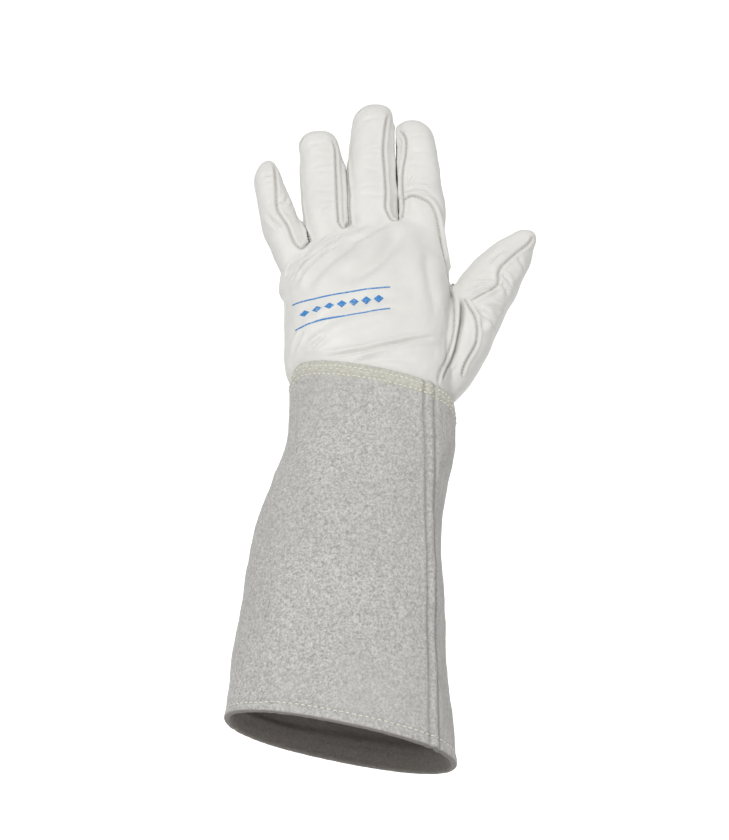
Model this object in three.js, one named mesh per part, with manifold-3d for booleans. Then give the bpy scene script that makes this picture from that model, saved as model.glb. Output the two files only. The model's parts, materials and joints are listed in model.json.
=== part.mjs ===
// Left-hand gauntlet welding glove, shown worn: a soft grain-leather hand sewn to a long suede cuff.
// Millimetres. +Z runs from the cuff hem to the fingertips, the back of the hand faces -Y and the thumb
// lies toward +X. The origin is the middle of the arm opening, in the plane of the hem.
import * as THREE from "three";
import { mergeVertices } from "three/addons/utils/BufferGeometryUtils.js";
import Module from "manifold-3d";

const wasm = await Module();
wasm.setup();

// ---- Driving sizes ---------------------------------------------------------------------------------
const LEATHER = 1.2;            // wall of the grain leather
const SUEDE = 1.5;              // wall of the split suede
const GAP = 0.3;                // clearance kept between neighbouring pieces
const SEAM_OFFSET = 5;          // finger side strips reach this far either side of mid thickness

const CUFF_LENGTH = 213;        // hem to the upper edge, the same all the way across
const HEM_WIDTH = 124;          // across the arm opening
const HEM_DEPTH = 80;           // front to back of the arm opening
const HEM_SLANT = 11.5;         // degrees, the thumb side of the hem is the longer
const HEM_FOLD = 14;            // height of the turned-in hem
const FOREARM_WIDTH = 105;
const FOREARM_DEPTH = 71;
const WRIST_WIDTH = 97;
const WRIST_DEPTH = 62;
const WRIST_SHIFT = 17;         // the wrist sits this far toward the thumb from the hem's middle
const WRIST_BELOW_EDGE = 33;    // wrist fold, below the middle of the upper edge
const CUFF_OVERLAP = 14;        // the hand leather runs this far down inside the cuff
const EDGE_CORNER = 8;          // rounding of the upper edge's two ends

const CUFF_WELT_X = 50;         // line of the cuff's one long seam, on the thumb side of the back
const WELT_WIDTH = 3;
const WELT_RISE = 1.5;          // a welt stands this far above the leather beside it

const HEEL_ABOVE_EDGE = 16;     // heel of the palm, above the cuff's upper edge
const PALM_LENGTH = 92;         // heel to the crotch between index and middle finger
const PALM_DEPTH = 57;
const FINGER_SPACE = 2.3;       // between neighbouring fingers at their roots
const INDEX_X = 48.5;
const STALL_ROOT = 46;          // finger solids reach this far down into the palm
const KNUCKLE_TO_FOLD = 28;     // between a finger's two folds
const TOP_SLOPE = 0.2;          // the line of crotches falls toward the little finger

// Half-widths are taken at the root fold, the middle fold and where the tip begins to round.
const FINGERS = [
  { name: "index", rise: 11, lean: -4, length: 62, widths: [13.1, 12.2, 11.2], depths: [12.4, 11.8, 10.6] },
  { name: "middle", rise: 10, lean: 0, length: 75, widths: [14.4, 14.2, 12.8], depths: [12.8, 12.4, 11.2] },
  { name: "ring", rise: 8, lean: -4, length: 57, widths: [12.7, 12.4, 11.4], depths: [12.2, 11.6, 10.4] },
  { name: "little", rise: -2, lean: -12, length: 47.5, widths: [11.4, 9.6, 8.6], depths: [11.2, 10, 8.8] },
];
const TIP_ROUNDING = 11;        // height of the rounded end of a finger

const THUMB_FOLD_X = 85.5;      // the thumb's lower fold
const THUMB_FOLD_Y = 8;
const THUMB_FOLD_RISE = 44;     // above the heel of the palm
const THUMB_LEAN = 34;
const THUMB_TO_FOLD = 21;       // between the thumb's two folds
const THUMB_LENGTH = 50;        // lower fold to the tip
const THUMB_SEAM_X = 71;        // where the thumb is sewn into the palm

const WRIST_RANGE = 25;         // degrees each way
const KNUCKLE_RANGE = 70;
const FINGER_RANGE = 75;
const THUMB_ROOT_RANGE = 45;
const THUMB_TIP_RANGE = 60;
const FOLD_CLEARANCE = 0.8;     // degrees, extra opening of every fold notch

// ---- Colours ---------------------------------------------------------------------------------------
const grain = new THREE.MeshStandardMaterial({ color: 0xe3e2dc, roughness: 0.6, metalness: 0 });
const grainSide = new THREE.MeshStandardMaterial({ color: 0xd9d8d1, roughness: 0.62, metalness: 0 });
const suede = new THREE.MeshStandardMaterial({ color: 0xbebcb7, roughness: 0.95, metalness: 0 });
const welt = new THREE.MeshStandardMaterial({ color: 0xcfcdc4, roughness: 0.75, metalness: 0 });

// ---- Solids ----------------------------------------------------------------------------------------
const HALF_GAP = GAP / 2;
const FAR = 2000;             // beyond the glove in every direction
const radians = THREE.MathUtils.degToRad;

function toSolid(geometry) {
  const plain = geometry.index ? geometry.toNonIndexed() : geometry.clone();
  plain.deleteAttribute("normal");
  plain.deleteAttribute("uv");
  const merged = mergeVertices(plain, 1e-4);
  const mesh = new wasm.Mesh({
    numProp: 3,
    vertProperties: new Float32Array(merged.attributes.position.array),
    triVerts: new Uint32Array(merged.index.array),
  });
  return new wasm.Manifold(mesh);
}

function toMesh(name, solid, material) {
  const cut = solid.getMesh();
  const geometry = new THREE.BufferGeometry();
  geometry.setAttribute("position", new THREE.BufferAttribute(new Float32Array(cut.vertProperties), 3));
  geometry.setIndex(new THREE.BufferAttribute(new Uint32Array(cut.triVerts), 1));
  geometry.computeVertexNormals();
  const mesh = new THREE.Mesh(geometry, material);
  mesh.name = name;
  return mesh;
}

// The half of space on the side of a plane that its normal points to.
function half(point, normal) {
  const box = new THREE.BoxGeometry(FAR, FAR, FAR);
  const direction = new THREE.Vector3(...normal).normalize();
  const turn = new THREE.Quaternion().setFromUnitVectors(new THREE.Vector3(0, 0, 1), direction);
  box.translate(0, 0, FAR / 2);
  box.applyQuaternion(turn);
  box.translate(...point);
  return toSolid(box);
}

// A box between two corners.
function block(low, high) {
  const size = high.map((value, axis) => value - low[axis]);
  const box = new THREE.BoxGeometry(...size);
  box.translate(...low.map((value, axis) => value + size[axis] / 2));
  return toSolid(box);
}

// A closed loft through oval sections. A section is { z, x, y, a, b, tilt }; `inset` shrinks every one.
function loft(sections, inset, sides, power) {
  const rings = sections.map((s) => ({ ...s, a: s.a - inset, b: s.b - inset }));
  const last = rings.length - 1;
  const profile = [new THREE.Vector2(0, -1)];
  rings.forEach((ring, i) => profile.push(new THREE.Vector2(1, i)));
  profile.push(new THREE.Vector2(0, rings.length));
  const geometry = new THREE.LatheGeometry(profile, sides);
  const place = geometry.attributes.position;
  for (let i = 0; i < place.count; i += 1) {
    const level = Math.round(place.getY(i));
    const ring = rings[Math.min(Math.max(level, 0), last)];
    const around = level < 0 || level > last ? 0 : 1;
    const angle = Math.atan2(place.getX(i), place.getZ(i));
    const across = Math.cos(angle);
    const through = Math.sin(angle);
    const x = around * ring.a * Math.sign(across) * Math.abs(across) ** (2 / power);
    const y = around * ring.b * Math.sign(through) * Math.abs(through) ** (2 / power);
    place.setXYZ(i, ring.x + x, ring.y + y, ring.z + ring.tilt * x);
  }
  return toSolid(geometry);
}

// The sections of a rounded end on top of the last section.
function rounded(section, height, inset, steps) {
  const rings = [];
  for (let i = 1; i <= steps; i += 1) {
    const turn = (i / (steps + 0.35)) * (Math.PI / 2);
    const shrink = Math.cos(turn);
    rings.push({
      ...section,
      z: section.z + (height - inset) * Math.sin(turn),
      a: (section.a - inset) * shrink + inset,
      b: (section.b - inset) * shrink + inset,
    });
  }
  return rings;
}

function oval(z, x, width, depth, y = 0, tilt = 0) {
  return { z, x, y, a: width / 2, b: depth / 2, tilt };
}

// A flat outline in X and Z, made solid from one Y to another.
function sheet(outline, fromY, toY) {
  const geometry = new THREE.ExtrudeGeometry(new THREE.Shape(outline), {
    depth: toY - fromY,
    bevelEnabled: false,
  });
  geometry.rotateX(Math.PI / 2);
  geometry.translate(0, toY, 0);
  return toSolid(geometry);
}

// What lies above, or below, a fold through the local origin. The walls either side of the fold stop on
// planes through the axis, so the notch between them closes as the fold reaches its limit.
function aboveFold(height, range) {
  const slope = Math.tan(radians(range / 2 + FOLD_CLEARANCE));
  const level = half([0, 0, height + HALF_GAP], [0, 0, 1]);
  return level.intersect(half([0, 0, height + HALF_GAP], [0, -slope, 1]));
}

function belowFold(height, range) {
  const slope = Math.tan(radians(range / 2 + FOLD_CLEARANCE));
  const level = half([0, 0, height - HALF_GAP], [0, 0, -1]);
  return level.intersect(half([0, 0, height - HALF_GAP], [0, -slope, -1]));
}

// ---- Places that several pieces share --------------------------------------------------------------
const WRIST_Z = CUFF_LENGTH - WRIST_BELOW_EDGE;
const HEEL_Z = CUFF_LENGTH + HEEL_ABOVE_EDGE;
const WEB_Z = HEEL_Z + PALM_LENGTH;

let rootX = INDEX_X;
FINGERS.forEach((finger, i) => {
  if (i > 0) {
    rootX -= FINGERS[i - 1].widths[0] + FINGER_SPACE + finger.widths[0];
  }
  finger.x = rootX;
  finger.z = WEB_Z + finger.rise;
});
const [INDEX, MIDDLE, RING, LITTLE] = FINGERS;

// ---- Cuff envelope ---------------------------------------------------------------------------------
const HEM_TILT = -Math.tan(radians(HEM_SLANT));

function cuffSections() {
  const forearmZ = CUFF_LENGTH * 0.56;
  return [
    oval(-SKIRT, 0, HEM_WIDTH, HEM_DEPTH, 0, HEM_TILT),
    oval(0, 0, HEM_WIDTH, HEM_DEPTH, 0, HEM_TILT),
    oval(CUFF_LENGTH * 0.27, WRIST_SHIFT * 0.02, HEM_WIDTH * 0.93, HEM_DEPTH * 0.95, 0, HEM_TILT / 3),
    oval(forearmZ, WRIST_SHIFT * 0.27, FOREARM_WIDTH, FOREARM_DEPTH),
    oval((forearmZ + WRIST_Z) / 2, WRIST_SHIFT * 0.62, (FOREARM_WIDTH + WRIST_WIDTH) / 2,
      (FOREARM_DEPTH + WRIST_DEPTH) / 2),
    oval(WRIST_Z, WRIST_SHIFT, WRIST_WIDTH, WRIST_DEPTH),
    oval(HEEL_Z + 6, WRIST_SHIFT, WRIST_WIDTH - 2, WRIST_DEPTH - 1),
  ];
}

const SKIRT = 20;               // the envelope runs this far below the hem, where the hem plane cuts it
const CUFF_SIDES = 36;
const CUFF_POWER = 2.25;

function cuffSolid(inset) {
  return loft(cuffSections(), inset, CUFF_SIDES, CUFF_POWER);
}

// What lies above a plane parallel to the slanted hem.
function aboveHem(height) {
  return half([0, 0, height], [-HEM_TILT, 0, 1]);
}

// Everything below the cuff's upper edge, which runs parallel to the hem and has rounded ends, moved up
// or down by `shift`.
function underEdge(shift) {
  const left = WRIST_SHIFT - WRIST_WIDTH / 2 + EDGE_CORNER;
  const right = WRIST_SHIFT + WRIST_WIDTH / 2 - EDGE_CORNER;
  const leftZ = CUFF_LENGTH + HEM_TILT * left + shift - EDGE_CORNER;
  const rightZ = CUFF_LENGTH + HEM_TILT * right + shift - EDGE_CORNER;
  const edge = new THREE.Shape();
  edge.moveTo(left - 60, -FAR / 4);
  edge.lineTo(right + 60, -FAR / 4);
  edge.lineTo(right + 60, rightZ);
  edge.absellipse(right, rightZ, EDGE_CORNER, EDGE_CORNER, 0, Math.PI / 2);
  edge.absellipse(left, leftZ, EDGE_CORNER, EDGE_CORNER, Math.PI / 2, Math.PI);
  edge.lineTo(left - 60, leftZ);
  return sheet(edge.getPoints(7), -FAR / 4, FAR / 4);
}

// The wrist folds both ways, so it has a notch front and back.
const WRIST_SLOPE = Math.tan(radians(WRIST_RANGE / 2 + FOLD_CLEARANCE));
function beyondWrist(side) {
  const point = [0, 0, WRIST_Z + side * HALF_GAP];
  return half(point, [0, WRIST_SLOPE, side]).intersect(half(point, [0, -WRIST_SLOPE, side]));
}

// ---- Cuff pieces -----------------------------------------------------------------------------------
function weltSlot(halfWidth) {
  return block([CUFF_WELT_X - halfWidth, -FAR / 4, -FAR / 4],
    [CUFF_WELT_X + halfWidth, 0, CUFF_LENGTH + 40]);
}

function cuffPieces() {
  const panelZone = underEdge(0).intersect(aboveHem(SUEDE + GAP));
  const inside = cuffSolid(SUEDE);
  const panel = cuffSolid(0).subtract(inside).intersect(panelZone)
    .subtract(weltSlot(WELT_WIDTH / 2 + GAP));
  const ridge = cuffSolid(-WELT_RISE).subtract(inside).intersect(panelZone)
    .intersect(weltSlot(WELT_WIDTH / 2));
  const upper = beyondWrist(1);
  const lower = beyondWrist(-1);

  // The hem closes the lower edge of the panel and turns up inside it.
  const turnedIn = cuffSolid(0).subtract(cuffSolid(2 * SUEDE + GAP)).intersect(aboveHem(0))
    .subtract(aboveHem(HEM_FOLD));
  const hem = turnedIn.subtract(aboveHem(SUEDE).subtract(cuffSolid(SUEDE + GAP)));

  return {
    root: [
      toMesh("cuff_panel_lower", panel.intersect(lower), suede),
      toMesh("cuff_welt_lower", ridge.intersect(lower), welt),
      toMesh("cuff_hem_fold", hem, suede),
    ],
    hand: [
      toMesh("cuff_panel_upper", panel.intersect(upper), suede),
      toMesh("cuff_welt_upper", ridge.intersect(upper), welt),
    ],
  };
}

// ---- Finger stalls, each in its own frame with the root fold at the origin ---------------------------
const STALL_SIDES = 20;
const STALL_POWER = 2.3;

function stallSolid(finger, inset) {
  const [rootWidth, foldWidth, tipWidth] = finger.widths;
  const [rootDepth, foldDepth, tipDepth] = finger.depths;
  const tipStart = finger.length - TIP_ROUNDING;
  const tip = oval(tipStart, 0, 2 * tipWidth, 2 * tipDepth);
  const rows = [
    oval(-STALL_ROOT, 0, 2 * rootWidth * 0.8, 2 * rootDepth * 0.8),
    oval(0, 0, 2 * rootWidth, 2 * rootDepth),
    oval(KNUCKLE_TO_FOLD, 0, 2 * foldWidth, 2 * foldDepth),
    tip,
    ...rounded(tip, TIP_ROUNDING, inset, 3),
  ];
  return loft(rows, inset, STALL_SIDES, STALL_POWER);
}

function sideStrip(side, grow) {
  const reach = SEAM_OFFSET + grow;
  const near = side > 0 ? -grow : -FAR / 4;
  const far = side > 0 ? FAR / 4 : grow;
  return block([near, -reach, -FAR / 4], [far, reach, FAR / 4]);
}

// The strips that a finger is sewn from: [suffix, region], in the finger's own frame.
function strips(finger) {
  const side = SEAM_OFFSET + HALF_GAP;
  const back = half([0, -side, 0], [0, -1, 0]);
  const palm = half([0, side, 0], [0, 1, 0]);
  const thumbward = sideStrip(1, -HALF_GAP);
  const outward = sideStrip(-1, -HALF_GAP);
  if (finger.name === "index") {
    const everywhere = half([0, 0, -FAR / 2], [0, 0, 1]);
    return [["wrap", everywhere.subtract(sideStrip(-1, HALF_GAP))], ["fourchette_middle", outward]];
  }
  if (finger.name === "little") {
    const strip = sideStrip(1, HALF_GAP);
    return [
      ["back", half([0, -HALF_GAP, 0], [0, -1, 0]).subtract(strip)],
      ["palm", half([0, HALF_GAP, 0], [0, 1, 0]).subtract(strip)],
      ["fourchette_ring", thumbward],
    ];
  }
  return [["back", back], ["palm", palm], ["fourchette_thumbward", thumbward],
    ["fourchette_outward", outward]];
}

function frameOf(x, y, z, lean) {
  const frame = new THREE.Group();
  frame.position.set(x, y, z);
  frame.rotation.y = radians(lean);
  return frame;
}

function placed(solid, frame) {
  frame.updateMatrix();
  return solid.transform(frame.matrix.elements);
}

function fingerPieces(finger) {
  const frame = frameOf(finger.x, 0, finger.z, finger.lean);
  const shell = stallSolid(finger, 0).subtract(stallSolid(finger, LEATHER));
  const segments = [
    ["proximal", aboveFold(0, KNUCKLE_RANGE).intersect(belowFold(KNUCKLE_TO_FOLD, FINGER_RANGE))],
    ["distal", aboveFold(KNUCKLE_TO_FOLD, FINGER_RANGE)],
  ];
  for (const [segment, region] of segments) {
    const cut = shell.intersect(region);
    for (const [strip, zone] of strips(finger)) {
      const material = strip.startsWith("fourchette") ? grainSide : grain;
      frame.add(toMesh(`${finger.name}_${segment}_${strip}`, cut.intersect(zone), material));
    }
  }
  return frame;
}

// ---- Thumb -----------------------------------------------------------------------------------------
const THUMB_SIDES = 24;
const THUMB_FRAME = frameOf(THUMB_FOLD_X, THUMB_FOLD_Y, HEEL_Z + THUMB_FOLD_RISE, THUMB_LEAN);

function thumbSolid(inset) {
  const tipStart = THUMB_LENGTH - TIP_ROUNDING;
  const tip = oval(tipStart, 0, 22, 20.5);
  const rows = [
    oval(-76, -1, 22, 20),
    oval(-57, 0, 38, 33),
    oval(-42, 0, 45, 38),
    oval(-22, 0, 41, 35),
    oval(0, 0, 35, 29),
    oval(THUMB_TO_FOLD, 0, 30, 26),
    tip,
    ...rounded(tip, TIP_ROUNDING, inset, 3),
  ];
  return loft(rows, inset, THUMB_SIDES, STALL_POWER);
}

function thumbPieces() {
  const frame = THUMB_FRAME.clone();
  const shell = thumbSolid(0).subtract(thumbSolid(LEATHER));
  const segments = [
    ["proximal", aboveFold(0, THUMB_ROOT_RANGE).intersect(belowFold(THUMB_TO_FOLD, THUMB_TIP_RANGE))],
    ["distal", aboveFold(THUMB_TO_FOLD, THUMB_TIP_RANGE)],
  ];
  for (const [segment, region] of segments) {
    const cut = shell.intersect(region);
    const back = half([0, -HALF_GAP, 0], [0, -1, 0]);
    const palm = half([0, HALF_GAP, 0], [0, 1, 0]);
    frame.add(toMesh(`thumb_${segment}_back`, cut.intersect(back), grain));
    frame.add(toMesh(`thumb_${segment}_palm`, cut.intersect(palm), grainSide));
  }
  return frame;
}

// ---- Hand ------------------------------------------------------------------------------------------
const PALM_SIDES = 36;
const PALM_POWER = 2.5;

function palmSolid(inset) {
  const littleEdge = LITTLE.x - LITTLE.widths[0];
  const indexEdge = INDEX.x + INDEX.widths[0];
  const fitWidth = WRIST_WIDTH - 2 * (SUEDE + GAP) - 2;
  const fitDepth = WRIST_DEPTH - 2 * (SUEDE + GAP) - 1;
  const span = (z, left, right, depth, tilt = 0) =>
    oval(z, (left + right) / 2, right - left, depth, 0, tilt);
  const rows = [
    oval(WRIST_Z - 10, WRIST_SHIFT, fitWidth, fitDepth),
    oval(HEEL_Z - 6, WRIST_SHIFT, fitWidth - 2, fitDepth - 1),
    span(HEEL_Z + 14, littleEdge + 14.5, indexEdge + 2.5, PALM_DEPTH),
    span(HEEL_Z + 40, littleEdge + 13.5, indexEdge + 2.5, PALM_DEPTH - 2),
    span(HEEL_Z + 62, littleEdge + 9, indexEdge + 2, PALM_DEPTH - 6, TOP_SLOPE / 2),
    span(HEEL_Z + 76, littleEdge + 5, indexEdge + 1, PALM_DEPTH - 17, TOP_SLOPE),
    span(HEEL_Z + 86 - inset, littleEdge + 10, indexEdge - 3, PALM_DEPTH - 29, TOP_SLOPE),
  ];
  return loft(rows, inset, PALM_SIDES, PALM_POWER);
}

// The hand's outside, or its hollow: palm, finger roots and thumb root, held inside the cuff's mouth.
function handSolid(inset) {
  let solid = palmSolid(inset);
  for (const finger of FINGERS) {
    const reach = inset > 0 ? half([0, 0, 4], [0, 0, -1]) : belowFold(0, KNUCKLE_RANGE);
    const frame = frameOf(finger.x, 0, finger.z, finger.lean);
    solid = solid.add(placed(stallSolid(finger, inset).intersect(reach), frame));
  }
  const thumbReach = inset > 0 ? half([0, 0, 4], [0, 0, -1]) : belowFold(0, THUMB_ROOT_RANGE);
  solid = solid.add(placed(thumbSolid(inset).intersect(thumbReach), THUMB_FRAME));
  const mouth = cuffSolid(SUEDE + GAP + inset);
  return solid.subtract(underEdge(GAP + inset).subtract(mouth));
}

// The line of the raised seam: round the root of the index finger and down the thumb side of the back.
function weltLine() {
  const foldZ = INDEX.z;
  const leftX = INDEX.x - INDEX.widths[0];
  const rightX = INDEX.x + INDEX.widths[0];
  const wristX = WRIST_SHIFT + WRIST_WIDTH / 2;
  const points = [
    [leftX - 1.5, foldZ - 19],
    [leftX + 1.5, foldZ - 8],
    [INDEX.x - 4, foldZ - 4],
    [INDEX.x + 5, foldZ - 6],
    [rightX - 2, foldZ - 18],
    [rightX - 0.5, foldZ - 42],
    [rightX, HEEL_Z + 18],
    [wristX - 7, HEEL_Z - 4],
    [wristX - 12, WRIST_Z],
  ];
  const line = new THREE.SplineCurve(points.map((p) => new THREE.Vector2(...p)));
  return line.getPoints(26);
}

function ribbon(line, halfWidth) {
  const offset = (side) => line.map((point, i) => {
    const before = line[Math.max(i - 1, 0)];
    const after = line[Math.min(i + 1, line.length - 1)];
    const along = after.clone().sub(before).normalize();
    return new THREE.Vector2(point.x - side * halfWidth * along.y, point.y + side * halfWidth * along.x);
  });
  return sheet([...offset(1), ...offset(-1).reverse()], -FAR / 4, -SEAM_OFFSET - HALF_GAP);
}

function handPieces() {
  const outside = handSolid(0);
  const hollow = handSolid(LEATHER);
  const kept = half([0, 0, 0], [0, 0, 1]).intersect(beyondWrist(1)).subtract(underEdge(-CUFF_OVERLAP));
  const shell = outside.subtract(hollow).intersect(kept);
  const line = weltLine();
  const slot = ribbon(line, WELT_WIDTH / 2 + GAP);

  // The back panel lies inside the raised seam and wraps the little finger edge.
  const first = line[0];
  const foot = line[line.length - 1];
  const backOutline = [...line, new THREE.Vector2(foot.x, 0), new THREE.Vector2(-FAR / 4, 0),
    new THREE.Vector2(-FAR / 4, FAR), new THREE.Vector2(first.x, FAR)];
  const backZone = sheet(backOutline, -FAR / 4, -SEAM_OFFSET - HALF_GAP);
  const littleEdge = block([-FAR / 4, -SEAM_OFFSET - 1, 0], [LITTLE.x - HALF_GAP, -HALF_GAP, FAR]);
  const cuffCorner = block([-FAR / 4, -SEAM_OFFSET - 1, 0], [WRIST_SHIFT, -HALF_GAP, HEEL_Z + 40]);
  const backRegion = backZone.add(littleEdge).add(cuffCorner);
  const back = shell.intersect(backRegion).subtract(slot);

  // Forks: the sides of two neighbouring fingers and the crotch between them, in one strip.
  const forks = [[INDEX, MIDDLE], [MIDDLE, RING], [RING, LITTLE]];
  const forkFoot = WEB_Z - 36;
  let forkSlots = null;
  const forkMeshes = forks.map(([near, far]) => {
    const reach = SEAM_OFFSET - HALF_GAP;
    const zone = block([far.x + HALF_GAP, -reach, forkFoot], [near.x - HALF_GAP, reach, FAR]);
    const slotZone = block([far.x - HALF_GAP, -reach - GAP, forkFoot - GAP],
      [near.x + HALF_GAP, reach + GAP, FAR]);
    forkSlots = forkSlots ? forkSlots.add(slotZone) : slotZone;
    return toMesh(`fork_${near.name}_${far.name}`, shell.intersect(zone), grainSide);
  });

  const thumbZone = half([THUMB_SEAM_X + HALF_GAP, 0, 0], [1, 0, 0]);
  const thumbSide = half([THUMB_SEAM_X - HALF_GAP, 0, 0], [1, 0, 0]);
  const grownBack = sheet(backOutline, -FAR / 4, -SEAM_OFFSET + HALF_GAP)
    .add(block([-FAR / 4, -SEAM_OFFSET - 1, 0], [LITTLE.x + HALF_GAP, HALF_GAP, FAR]))
    .add(block([-FAR / 4, -SEAM_OFFSET - 1, 0], [WRIST_SHIFT + HALF_GAP, HALF_GAP, HEEL_Z + 40]));
  const palm = shell.subtract(grownBack).subtract(slot).subtract(forkSlots).subtract(thumbSide);

  const raised = handSolid(-WELT_RISE).subtract(hollow).intersect(kept);
  const rope = raised.intersect(ribbon(line, WELT_WIDTH / 2)).subtract(underEdge(GAP));

  return [
    toMesh("back_panel", back, grain),
    toMesh("palm_panel", palm, grain),
    toMesh("back_welt", rope, grain),
    toMesh("thumb_base", shell.intersect(thumbZone), grainSide),
    ...forkMeshes,
  ];
}

// ---- Assembly --------------------------------------------------------------------------------------
const glove = new THREE.Group();
const cuff = cuffPieces();
glove.add(...cuff.root);
glove.add(...cuff.hand);
glove.add(...handPieces());
glove.add(thumbPieces());
for (const finger of FINGERS) {
  glove.add(fingerPieces(finger));
}

export default glove;
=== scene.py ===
import json
import math

import bpy
import numpy as np
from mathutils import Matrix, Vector
from mathutils.bvhtree import BVHTree


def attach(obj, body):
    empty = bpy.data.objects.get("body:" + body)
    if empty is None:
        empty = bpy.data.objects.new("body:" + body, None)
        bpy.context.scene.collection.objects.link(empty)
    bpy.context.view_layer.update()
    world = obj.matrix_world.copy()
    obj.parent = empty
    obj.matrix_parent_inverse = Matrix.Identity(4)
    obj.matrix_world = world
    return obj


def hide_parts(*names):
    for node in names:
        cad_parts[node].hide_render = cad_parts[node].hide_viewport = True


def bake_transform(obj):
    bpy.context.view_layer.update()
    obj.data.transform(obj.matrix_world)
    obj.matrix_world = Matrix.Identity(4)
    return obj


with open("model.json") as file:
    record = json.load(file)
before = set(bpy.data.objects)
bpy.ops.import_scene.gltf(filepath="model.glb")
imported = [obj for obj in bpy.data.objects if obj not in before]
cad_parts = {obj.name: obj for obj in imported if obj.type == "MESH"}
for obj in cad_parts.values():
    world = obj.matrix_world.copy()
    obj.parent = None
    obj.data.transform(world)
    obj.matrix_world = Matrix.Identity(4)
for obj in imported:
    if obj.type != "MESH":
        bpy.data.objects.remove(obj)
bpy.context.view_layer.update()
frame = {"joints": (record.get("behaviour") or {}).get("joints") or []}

# A left-hand gauntlet welding glove. Shapes are worked out in millimetres in the row frame: +Z from the
# cuff hem to the fingertips, -Y out of the back of the hand, +X toward the thumb. Meshes are stored in
# metres.
MM = 0.001
SEED = 7
JOINTS = {joint["name"]: joint for joint in frame["joints"]}

# ---- Camera ----------------------------------------------------------------------------------------
CAMERA_ELEVATION = math.radians(-25)
CAMERA_DISTANCE = 1.105
CAMERA_TARGET = Vector((0.0131, 0.0, 0.1900))
SENSOR_HEIGHT = 24.0
LENS = 54.6


def make_camera():
    """The photograph's view: from below, square to the back of the hand."""
    camera = bpy.data.objects.new("camera", bpy.data.cameras.new("camera"))
    bpy.context.scene.collection.objects.link(camera)
    forward = Vector((0, math.cos(CAMERA_ELEVATION), -math.sin(CAMERA_ELEVATION)))
    camera.location = CAMERA_TARGET - forward * CAMERA_DISTANCE
    camera.rotation_euler = forward.to_track_quat("-Z", "Y").to_euler()
    camera.data.sensor_fit = "VERTICAL"
    camera.data.sensor_height = SENSOR_HEIGHT
    camera.data.lens = LENS
    bpy.context.scene.camera = camera


make_camera()

# ---- Sizes, mm -------------------------------------------------------------------------------------
LEATHER = 1.2
SUEDE = 1.5
VOXEL = 0.75

CUFF_LENGTH = 213.0
HEEL_ABOVE_EDGE = 16.0
HEEL_Z = CUFF_LENGTH + HEEL_ABOVE_EDGE
WRIST_Z = JOINTS["wrist_fold"]["pos_m"][2] / MM
WRIST_X = JOINTS["wrist_fold"]["pos_m"][0] / MM
WRIST_WIDTH = 97.0
WRIST_DEPTH = 62.0
EDGE_CORNER = 8.0
CUFF_POWER = 2.25
HEM_SLANT = math.tan(math.radians(11.5))
CUFF_SEAM_X = 50.0

# Each finger in its own frame, seen from the back: along it, its edge away from the thumb and its edge
# toward the thumb. `tip` is where across the finger its end lies, `rounding` the height of the rounded end,
# `powers` how square its two corners are, and `depths` are half-depths at the root, middle fold and tip.
FINGERS = {
    "index": {
        "outline": ((-46, -10, 10.5), (-12, -13.0, 13.4), (0, -14.2, 13.4), (13, -14.1, 13.1),
                    (30, -13.4, 12.6), (48, -12.4, 11.2)),
        "length": 62.6, "tip": -3.0, "rounding": 14, "powers": (2.7, 1.75), "depths": (12.6, 12.0, 10.6)},
    "middle": {
        "outline": ((-46, -11, 11), (-12, -14.6, 13.4), (0, -15.4, 14.2), (15, -15.5, 14.1),
                    (30, -15.2, 13.5), (48, -14.6, 12.9), (60, -13.4, 12.4)),
        "length": 75.3, "tip": 0.5, "rounding": 15, "powers": (2.0, 2.8), "depths": (13.0, 12.6, 11.0)},
    "ring": {
        "outline": ((-46, -10, 10), (-12, -12.5, 12.6), (0, -12.9, 13.8), (14, -13.3, 14.2),
                    (25, -13.4, 13.6), (39, -13.8, 12.4), (48, -14.0, 11.4)),
        "length": 57.6, "tip": -1.0, "rounding": 12, "powers": (2.5, 2.1), "depths": (12.4, 11.8, 10.4)},
    "little": {
        "outline": ((-46, -8, 8), (-14, -10.4, 12.8), (-4, -11.5, 11.8), (5, -12.0, 10.3),
                    (18, -11.3, 8.4), (30, -10.2, 7.0)),
        "length": 47.4, "tip": 0.8, "rounding": 15, "powers": (1.8, 2.2), "depths": (11.2, 9.8, 8.4)},
}
THUMB_SHAPE = {
    "outline": ((-82, -5, 3), (-74, -12, 14), (-66, -16, 21.5), (-54, -19, 22.6), (-42, -21, 21.8),
                (-29, -21, 20.6), (-16, -21, 18.0), (-3, -20.6, 15.7), (11, -19.8, 13.5), (25, -18.0, 11.0),
                (37, -14.4, 8.6), (47, -10.0, 5.4)),
    "length": 54.8, "tip": -1.5, "rounding": 8, "powers": (1.4, 2.0),
    "depths": ((-82, 5), (-66, 14), (-54, 16.5), (-40, 18.5), (-22, 17.5), (0, 15), (21, 13.2), (40, 10.2)),
}
# While the skin is made the fingers stand this many degrees further apart, so it does not web them
SPREAD = {"index": 4.0, "middle": 0.0, "ring": -3.0, "little": -4.0}

# How far either side of a fold the leather bends, in mm along the finger
ROOT_BEND = (-9.0, 13.0)
MIDDLE_BEND = (-12.0, 12.0)
THUMB_ROOT_BEND = (-5.0, 13.0)
THUMB_TIP_BEND = (-7.0, 8.0)


# ---- Numbers and curves ----------------------------------------------------------------------------
def smoothstep(value, low, high):
    """Rises smoothly from 0 at low to 1 at high."""
    t = np.clip((value - low) / (high - low), 0, 1)
    return t * t * (3 - 2 * t)


def bump(distance, width):
    """A smooth hump, 1 at distance 0."""
    return np.exp(-(distance / width) ** 2)


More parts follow.
